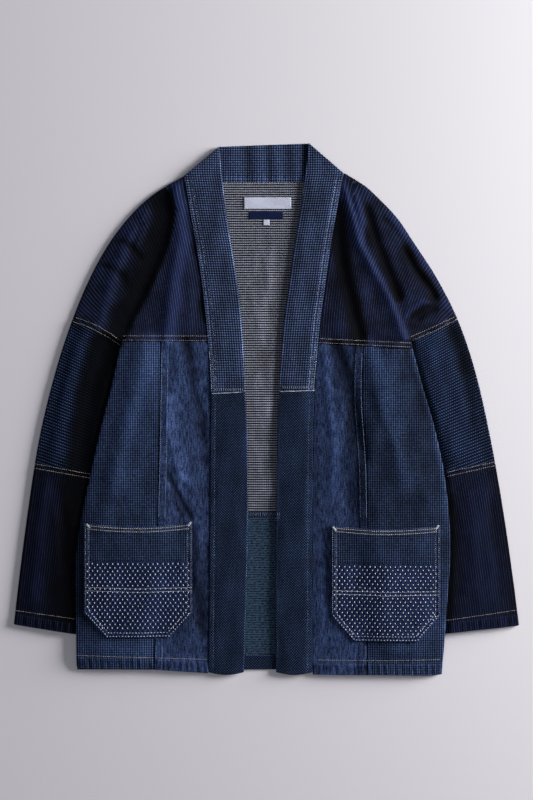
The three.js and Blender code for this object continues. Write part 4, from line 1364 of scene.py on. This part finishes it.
def pocket_wall(side, x, drop):
    inner, outer, top, _, bottom, _ = POCKETS[side]
    from_edge = np.minimum(from_pocket_side(side, x, drop), bottom - drop)
    across = np.clip((x - inner) / (outer - inner), 0, 1)
    below = drop - top - POCKET_SAG * np.sin(math.pi * across)
    fell = 0.5 * step_between(from_edge, OFF_EDGE, POCKET_FELL)
    hem = 0.7 * step_between(below, OFF_EDGE, POCKET_HEM)
    return CLOTH + np.maximum(fell, hem) + pucker(x + drop, from_edge - 5, 6, 0.12, 8)


def make_pocket_piece(name, side, top, bottom, slot, top_piece):
    inner, outer, mouth, cut, end, _ = POCKETS[side]
    us = steps(162, 2.2)[None, :]
    positions = lerp(top, bottom, steps(bottom - top, 2.2))
    if not top_piece:
        positions = np.unique(np.round(np.concatenate([positions, [cut]]), 3))
    drop = positions[:, None] + 0 * us
    sag = POCKET_SAG * np.sin(math.pi * us)
    if top_piece:
        drop = drop + sag * ((bottom - drop) / (bottom - top)) ** 2
    slant = SIGN[side] * pocket_slant(side, drop)
    x = lerp(outer - slant, inner + slant, us)
    from_side = from_pocket_side(side, x, drop)
    below = drop - mouth - sag
    wear = 0.8 * hump(np.minimum(from_side, end - drop), 1.6) + 0.7 * hump(below, 1.8)
    wear = wear + 0.35 * step_between(below, OFF_EDGE, POCKET_HEM)
    # Painted shade darkens the upper part of the pocket beside its sides
    shade = np.clip(2.0 * hump(from_side, 5) - 0.35, 0, 1) * (drop < cut)
    tone = shade_by_height(body_relief(x, drop) * 0.5) - 0.12 - 0.25 * shade
    low = front_low(x, drop) + CLOTH + POCKET_STAND
    return cloth(name, slot, x, drop, low, pocket_wall(side, x, drop), x - inner, drop, tone, wear)


pieces = {}
for side in SIGN:
    pieces[f"yoke_{side}"] = make_yoke(side)
    pieces[f"side_front_{side}"], pieces[f"centre_front_{side}"] = make_fronts(side)
    pieces[f"collar_{side}"] = make_collar(side)
    pieces[f"band_{side}"] = make_band(side)
    last_row = len(SLEEVES[side]) - 1
    for name, slot, first, last in (("sleeve_mid", "sleeve_weave", 0, SEAM_ROW),
                                    ("sleeve_lower", "sleeve_stripe", SEAM_ROW, last_row)):
        key = f"{name}_{side}"
        pieces[key] = make_sleeve(side, key, slot, first, last, last == last_row)
    mouth, end = POCKETS[side][2], POCKETS[side][4]
    split = mouth + POCKET_SPLIT
    for name, slot, top, bottom in (("pocket_top", "grid_weave", mouth, split - SEAM_GAP / 2),
                                    ("pocket_patch", "sashiko_patch", split + SEAM_GAP / 2, end)):
        key = f"{name}_{side}"
        pieces[key] = make_pocket_piece(key, side, top, bottom, slot, top == mouth)
collar_back = make_collar_back()

# Sewing

dice = np.random.default_rng(11)
# The corners of a stitch's four rings, and the rings' places along it and girth
RING = np.array([(-0.5, 0.0), (0.0, 0.5), (0.5, 0.0), (0.0, -0.5)])
ALONG = np.array([-0.5, -0.3, 0.3, 0.5])
GIRTH = np.array([0.3, 1.0, 1.0, 0.3])
# How far a stitch may bend down into a groove and stands off the cloth, in millimetres
STITCH_DROP = 0.45
STITCH_RISE = 0.1
# Height in metres, above all the cloth
RAY_START = 0.1


def surface_height(places):
    """Height of the cloth in millimetres under each place, met by a ray from above."""
    deps = bpy.context.evaluated_depsgraph_get()
    heights = []
    for x, drop in places:
        start = (x * MM, place_y(drop) * MM, RAY_START)
        hit, point = bpy.context.scene.ray_cast(deps, start, (0, 0, -1))[:2]
        heights.append(point[2] / MM if hit else 0.0)
    return np.array(heights)


def sew(name, thread, runs):
    """One object of many stitches, each x, drop, heading in radians, length, width, height, tone."""
    rows = np.concatenate(runs)
    count = len(rows)
    x, drop, heading, length, width, height, tone = rows.T
    ahead = np.stack([np.cos(heading), np.sin(heading)], axis=-1)
    beside = np.stack([-np.sin(heading), np.cos(heading)], axis=-1)
    centre = np.stack([x, drop], axis=-1)
    rings = centre[:, None] + ahead[:, None] * (ALONG[None, :, None] * length[:, None, None])
    level = surface_height(rings.reshape(-1, 2)).reshape(count, 4)
    level = np.maximum(level, level.max(axis=1)[:, None] - STITCH_DROP)
    side = RING[None, None, :, 0] * (width[:, None] * GIRTH[None, :])[:, :, None]
    up = RING[None, None, :, 1] * (height[:, None] * GIRTH[None, :])[:, :, None]
    flat = rings[:, :, None] + beside[:, None, None] * side[..., None]
    lift = level[:, :, None] + STITCH_RISE + up
    points = np.stack([flat[..., 0], place_y(flat[..., 1]), lift], axis=-1).reshape(-1, 3)
    corners = [(4 * ring, k, (k + 1) % 4) for ring in range(3) for k in range(4)]
    one = [(ring + k, ring + after, ring + 4 + after, ring + 4 + k) for ring, k, after in corners]
    one += [(3, 2, 1, 0), (12, 13, 14, 15)]
    faces = (np.array(one)[None] + 16 * np.arange(count)[:, None, None]).reshape(-1, 4)
    u = np.repeat(ALONG[None] * length[:, None], 4, axis=1)
    v = np.tile(np.tile(np.array([0.0, 0.5, 1.0, 1.5]), 4), (count, 1))
    obj = mesh_object(name, points, faces, np.stack([u, v], axis=-1).reshape(-1, 2),
                      {"tone": np.repeat(tone, 16)})
    obj.data.materials.append(THREADS[thread])
    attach(obj, "root")
    return obj


def run_of_stitches(points, pitch=3.2, length=2.6, width=0.68, height=0.45, bright=0.5, shake=0.1):
    """Stitches along a line given by points on the 1.5 mm grid."""
    places = np.array([spot(*p) for p in points])
    legs = np.hypot(*np.diff(places, axis=0).T)
    total = np.concatenate([[0], np.cumsum(legs)])
    at = np.arange(pitch / 2, total[-1], pitch)
    x = np.interp(at, total, places[:, 0]) + dice.normal(0, shake, len(at))
    drop = np.interp(at, total, places[:, 1]) + dice.normal(0, shake, len(at))
    leg = np.clip(np.searchsorted(total, at) - 1, 0, len(legs) - 1)
    step = np.diff(places, axis=0)[leg]
    heading = np.arctan2(step[:, 1], step[:, 0]) + dice.normal(0, 0.06, len(at))
    long = length * dice.uniform(0.85, 1.1, len(at))
    tone = np.clip(bright + dice.normal(0, 0.2, len(at)), 0, 1)
    full = np.ones(len(at))
    return np.stack([x, drop, heading, long, width * full, height * full, tone], axis=-1)


def double_run(points, lower, **options):
    """A line of stitches and a second one some rows lower."""
    return [run_of_stitches([(x, y + add) for x, y in points], **options) for add in (0, lower)]


# Lines of stitches, as points on the 1.5 mm grid
YOKE_TOPSTITCH = [
    [(122.5, 340.2), (165, 340.4), (208, 340.4)], [(123, 336), (208, 336)],
    [(318.5, 342.6), (410, 347.2)], [(318.5, 338.6), (409.5, 343)],
]
SLEEVE_TOPSTITCH = [
    [(75.3, 317.3), (89.2, 322.4), (98, 326), (111, 334), (121.2, 341.3)],
    [(72.8, 321.4), (88.8, 327.2), (96, 330.6), (109.2, 337.9), (120.4, 345.3)],
    [(409.6, 337.2), (432, 327.5), (455, 316.7)], [(411.8, 340.8), (434.4, 330.9), (457.3, 319.7)],
    [(34, 463.6), (91.2, 474.4)], [(33.4, 468), (90.2, 478)],
    [(446.6, 472.3), (494.4, 462)], [(446.8, 476.4), (495, 465.6)],
]
CUFF_TOPSTITCH = [[(15.4, 610.6), (75.5, 619)], [(445.6, 620.5), (517.6, 610)]]
HEM_TOPSTITCH = [[(77.4, 655), (140, 657), (209, 659.6)], [(318, 660), (380, 660.4), (440, 659.4)]]
WHITE_LINES = [
    [(211.5, 393.6), (230, 392.8), (244, 392)], [(280.6, 391.6), (300, 391), (313.6, 390.4)],
]


def line_beside(lines, side, inward, start, end):
    """Places on the grid down an edge or a seam, a given distance in from it."""
    drops = np.linspace(start, end, 12)
    return [square(float(lines[side](drop)) - SIGN[side] * inward, drop) for drop in drops]


def pocket_outline(side, inset):
    """Corners of a pocket's seam on the 1.5 mm grid, drawn in by a distance."""
    inner, outer, top, cut, bottom, cut_width = POCKETS[side]
    sign = SIGN[side]
    corner = inset * 0.45
    rows = [
        (outer - sign * inset, top + 2), (outer - sign * inset, cut - corner),
        (outer - sign * (cut_width + corner), bottom - inset),
        (inner + sign * (cut_width + corner), bottom - inset),
        (inner + sign * inset, cut - corner), (inner + sign * inset, top + 2),
    ]
    return [square(x, drop) for x, drop in rows]


def pocket_level(side, below):
    inner, outer, top = POCKETS[side][:3]
    return [square(lerp(inner, outer, t), top + below + POCKET_SAG * math.sin(math.pi * t))
            for t in np.linspace(0.03, 0.97, 9)]


# The stitches of a pocket's lower piece: the rows' spacing, their pitch, and the shift of every second row
DOT_ROWS = 5.3
DOT_PITCH = 7.55
DOT_SHIFT = 3.7
# Bare cloth beside and above them, and below them
DOT_MARGIN = 4
DOT_END = 11


def sashiko_dots(side):
    """Rows of short upright stitches over the lower piece of a pocket, staggered row by row."""
    inner, outer, top, _, bottom, _ = POCKETS[side]
    first = top + POCKET_SPLIT + DOT_MARGIN
    west, east = min(inner, outer), max(inner, outer)
    rows = []
    for index in range(int((bottom - DOT_END - first) / DOT_ROWS) + 1):
        drop = first + DOT_ROWS * index
        margin = DOT_MARGIN + pocket_slant(side, drop)
        start = west + DOT_MARGIN + 1 + DOT_SHIFT * (index % 2)
        for x in np.arange(start, east - margin, DOT_PITCH):
            if x >= west + margin:
                rows.append((x + dice.normal(0, 0.25), drop + dice.normal(0, 0.25),
                             math.pi / 2 + dice.normal(0, 0.18), dice.uniform(1.7, 2.4),
                             dice.uniform(1.15, 1.5), 0.6, np.clip(dice.normal(0.92, 0.16), 0, 1)))
    return np.array(rows)


def bartack(column, row, lean):
    """A thick tack across the corner of a pocket."""
    x, drop = spot(column, row)
    return np.array([
        (x + 4.2 * step * lean, drop + 5.2 * step, math.atan2(-lean, 1.6), 3.2, 0.9, 0.9,
         np.clip(dice.normal(0.75, 0.15), 0, 1)) for step in np.linspace(-0.5, 0.5, 9)
    ])


def loops(start, end, pitch, row, length, bright=1.0):
    """Overlocking: short slanted stitches side by side."""
    places = [spot(column, row) for column in np.arange(start, end, pitch)]
    return np.array([
        (x, drop, math.pi / 2 + dice.normal(0, 0.25), length, 0.8, 0.5,
         bright * np.clip(dice.normal(0.45, 0.2), 0, 1)) for x, drop in places
    ])


# Corner tacks, as column, row and lean, and overlocked stretches, as first and last column, pitch, row,
# length and brightness
TACKS = [(88.7, 525.7, 1), (189.5, 524, -1), (334.2, 528.5, 1), (436.5, 527, -1)]
WHITE_LOOPS = [
    (223, 300, 2.9, 182.5, 2.2, 1), (215, 243, 2.1, 389.6, 3.2, 0.45), (283, 312, 2.1, 387.4, 3.2, 0.45),
]
# Rows beside a band's outer edge, as distance in, start, end, pitch, length, width, height, brightness on
# the left, what the right adds, and unevenness
BAND_ROWS = [
    (4, 55, 368, 3.4, 1.5, 0.8, 0.4, 0.1, 0.18, 0.4), (10, 55, 368, 3.4, 1.6, 0.8, 0.4, 0.15, 0.18, 0.4),
    (7, 385, 788, 4.2, 1.8, 0.6, 0.35, 0.0, 0, 0.2), (1.6, 312, 372, 2.9, 2.1, 0.9, 0.45, 0.2, 0, 0.25),
    (7.4, 318, 370, 3.3, 1.8, 0.9, 0.45, 0.12, 0, 0.5),
]
PATCH_ROW = {"left": 586.8, "right": 590.4}
# Two rows beside the seam of each front, as distance in, and brightness on the left and on the right
SEAM_ROWS = [(1.3, {"left": 0.85, "right": 0.85}), (FRONT_FELL - 1, {"left": 0.55, "right": 0.25})]

gold = [run_of_stitches(line) for line in YOKE_TOPSTITCH + SLEEVE_TOPSTITCH + CUFF_TOPSTITCH]
gold += [run_of_stitches(line, 2.9, 2.3, 0.65, bright=0.6) for line in HEM_TOPSTITCH]
for side in SIGN:
    gold += double_run(pocket_level(side, 3), 3.2, bright=0.85, width=0.9)
sew("topstitch_ecru", "gold", gold)

white = [run_of_stitches(line, 2.2, 2.3, 1.2, bright=0.68) for line in WHITE_LINES]
for side in SIGN:
    for inset in (2.2, 7.2):
        corners = pocket_outline(side, inset)
        white.append(run_of_stitches(corners[1:5], 4.6, 2.3, 1.2, 0.6, 0.6))
        white.append(run_of_stitches(corners[:2], 3.0, 1.8, 0.7, 0.4, 0.3))
        white.append(run_of_stitches(corners[4:], 3.0, 1.8, 0.7, 0.4, 0.3))
    for inward, start, end, pitch, length, width, height, bright, more, shake in BAND_ROWS:
        line = line_beside(band_outer, side, inward, start, end)
        bright += more if side == "right" else 0
        white.append(run_of_stitches(line, pitch, length, width, height, bright, shake))
    row = PATCH_ROW[side]
    (left, _), (right, _) = (square(x, 0) for x in sorted(POCKETS[side][:2]))
    across = [(left + 1.6, row), ((left + right) / 2, row + 1.6), (right - 1.4, row + 0.6)]
    white += double_run(across, 3.4, pitch=3.0, length=2.6, width=0.8, bright=0.5)
white += [sashiko_dots(side) for side in SIGN]
white += [bartack(*tack) for tack in TACKS]
white += [loops(*stretch) for stretch in WHITE_LOOPS]
sew("sashiko_and_tacks", "white", white)

blue = []
for side in SIGN:
    for inward, bright in SEAM_ROWS:
        for start, end in ((315, 562), (754, 770)):
            line = line_beside(front_seam, side, inward, start, end)
            blue.append(run_of_stitches(line, 3.2, 2.6, 0.8, 0.45, bright[side], 0.15))
blue.append(loops(247, 280, 1.9, 514.5, 5.5))
blue.append(run_of_stitches([(246, 518), (279, 518)], 2.4, 2.0, 0.7, 0.5, 0.8))
blue.append(run_of_stitches([(246, 655.4), (277, 656)], 3.2, 2.4, 0.7, 0.5, 0.6))
sew("topstitch_blue", "blue", blue)

# Floor, light and camera


def make_floor():
    size = 3.2
    corners = [(-size, -size, 0), (size, -size, 0), (size, size, 0), (-size, size, 0)]
    mesh = bpy.data.meshes.new("floor")
    mesh.from_pydata(corners, [], [(0, 1, 2, 3)])
    floor = bpy.data.objects.new("floor", mesh)
    bpy.context.collection.objects.link(floor)
    material = bpy.data.materials.new("floor paper")
    material.use_nodes = True
    tree = material.node_tree
    shader = tree.nodes["Principled BSDF"]
    noise = tree.nodes.new("ShaderNodeTexNoise")
    noise.inputs["Scale"].default_value = 2.0
    ramp = tree.nodes.new("ShaderNodeValToRGB")
    ramp.color_ramp.elements[0].color = (0.74, 0.725, 0.775, 1)
    ramp.color_ramp.elements[1].color = (0.79, 0.775, 0.82, 1)
    tree.links.new(noise.outputs[0], ramp.inputs[0])
    tree.links.new(ramp.outputs[0], shader.inputs["Base Color"])
    shader.inputs["Roughness"].default_value = 0.95
    shader.inputs["Specular IOR Level"].default_value = 0.1
    mesh.materials.append(material)


def add_light(name, position, size, power, tint):
    """A square light that faces the middle of the garment."""
    data = bpy.data.lights.new(name, "AREA")
    data.shape = "SQUARE"
    data.size = size
    data.energy = power
    data.color = tint
    light = bpy.data.objects.new(name, data)
    light.location = position
    light.rotation_euler = (-Vector(position)).to_track_quat("-Z", "Y").to_euler()
    bpy.context.collection.objects.link(light)


make_floor()
add_light("key", (2.87, 0.84, 0.8), 1.35, 238, (1.0, 0.98, 0.965))
add_light("fill", (-0.5, -0.6, 2.7), 2.4, 9.5, (0.97, 0.96, 1.0))
world = bpy.data.worlds.new("studio")
world.use_nodes = True
sky = world.node_tree.nodes["Background"]
sky.inputs[0].default_value = (0.80, 0.82, 0.90, 1)
sky.inputs[1].default_value = 0.145
bpy.context.scene.world = world
bpy.context.scene.view_settings.view_transform = "Standard"

CAMERA_HEIGHT = 2.506
lens = bpy.data.cameras.new("camera")
lens.sensor_width = 36
lens.lens = 75
camera = bpy.data.objects.new("camera", lens)
camera.location = (0.00015, 0.014, CAMERA_HEIGHT)
bpy.context.collection.objects.link(camera)
bpy.context.scene.camera = camera
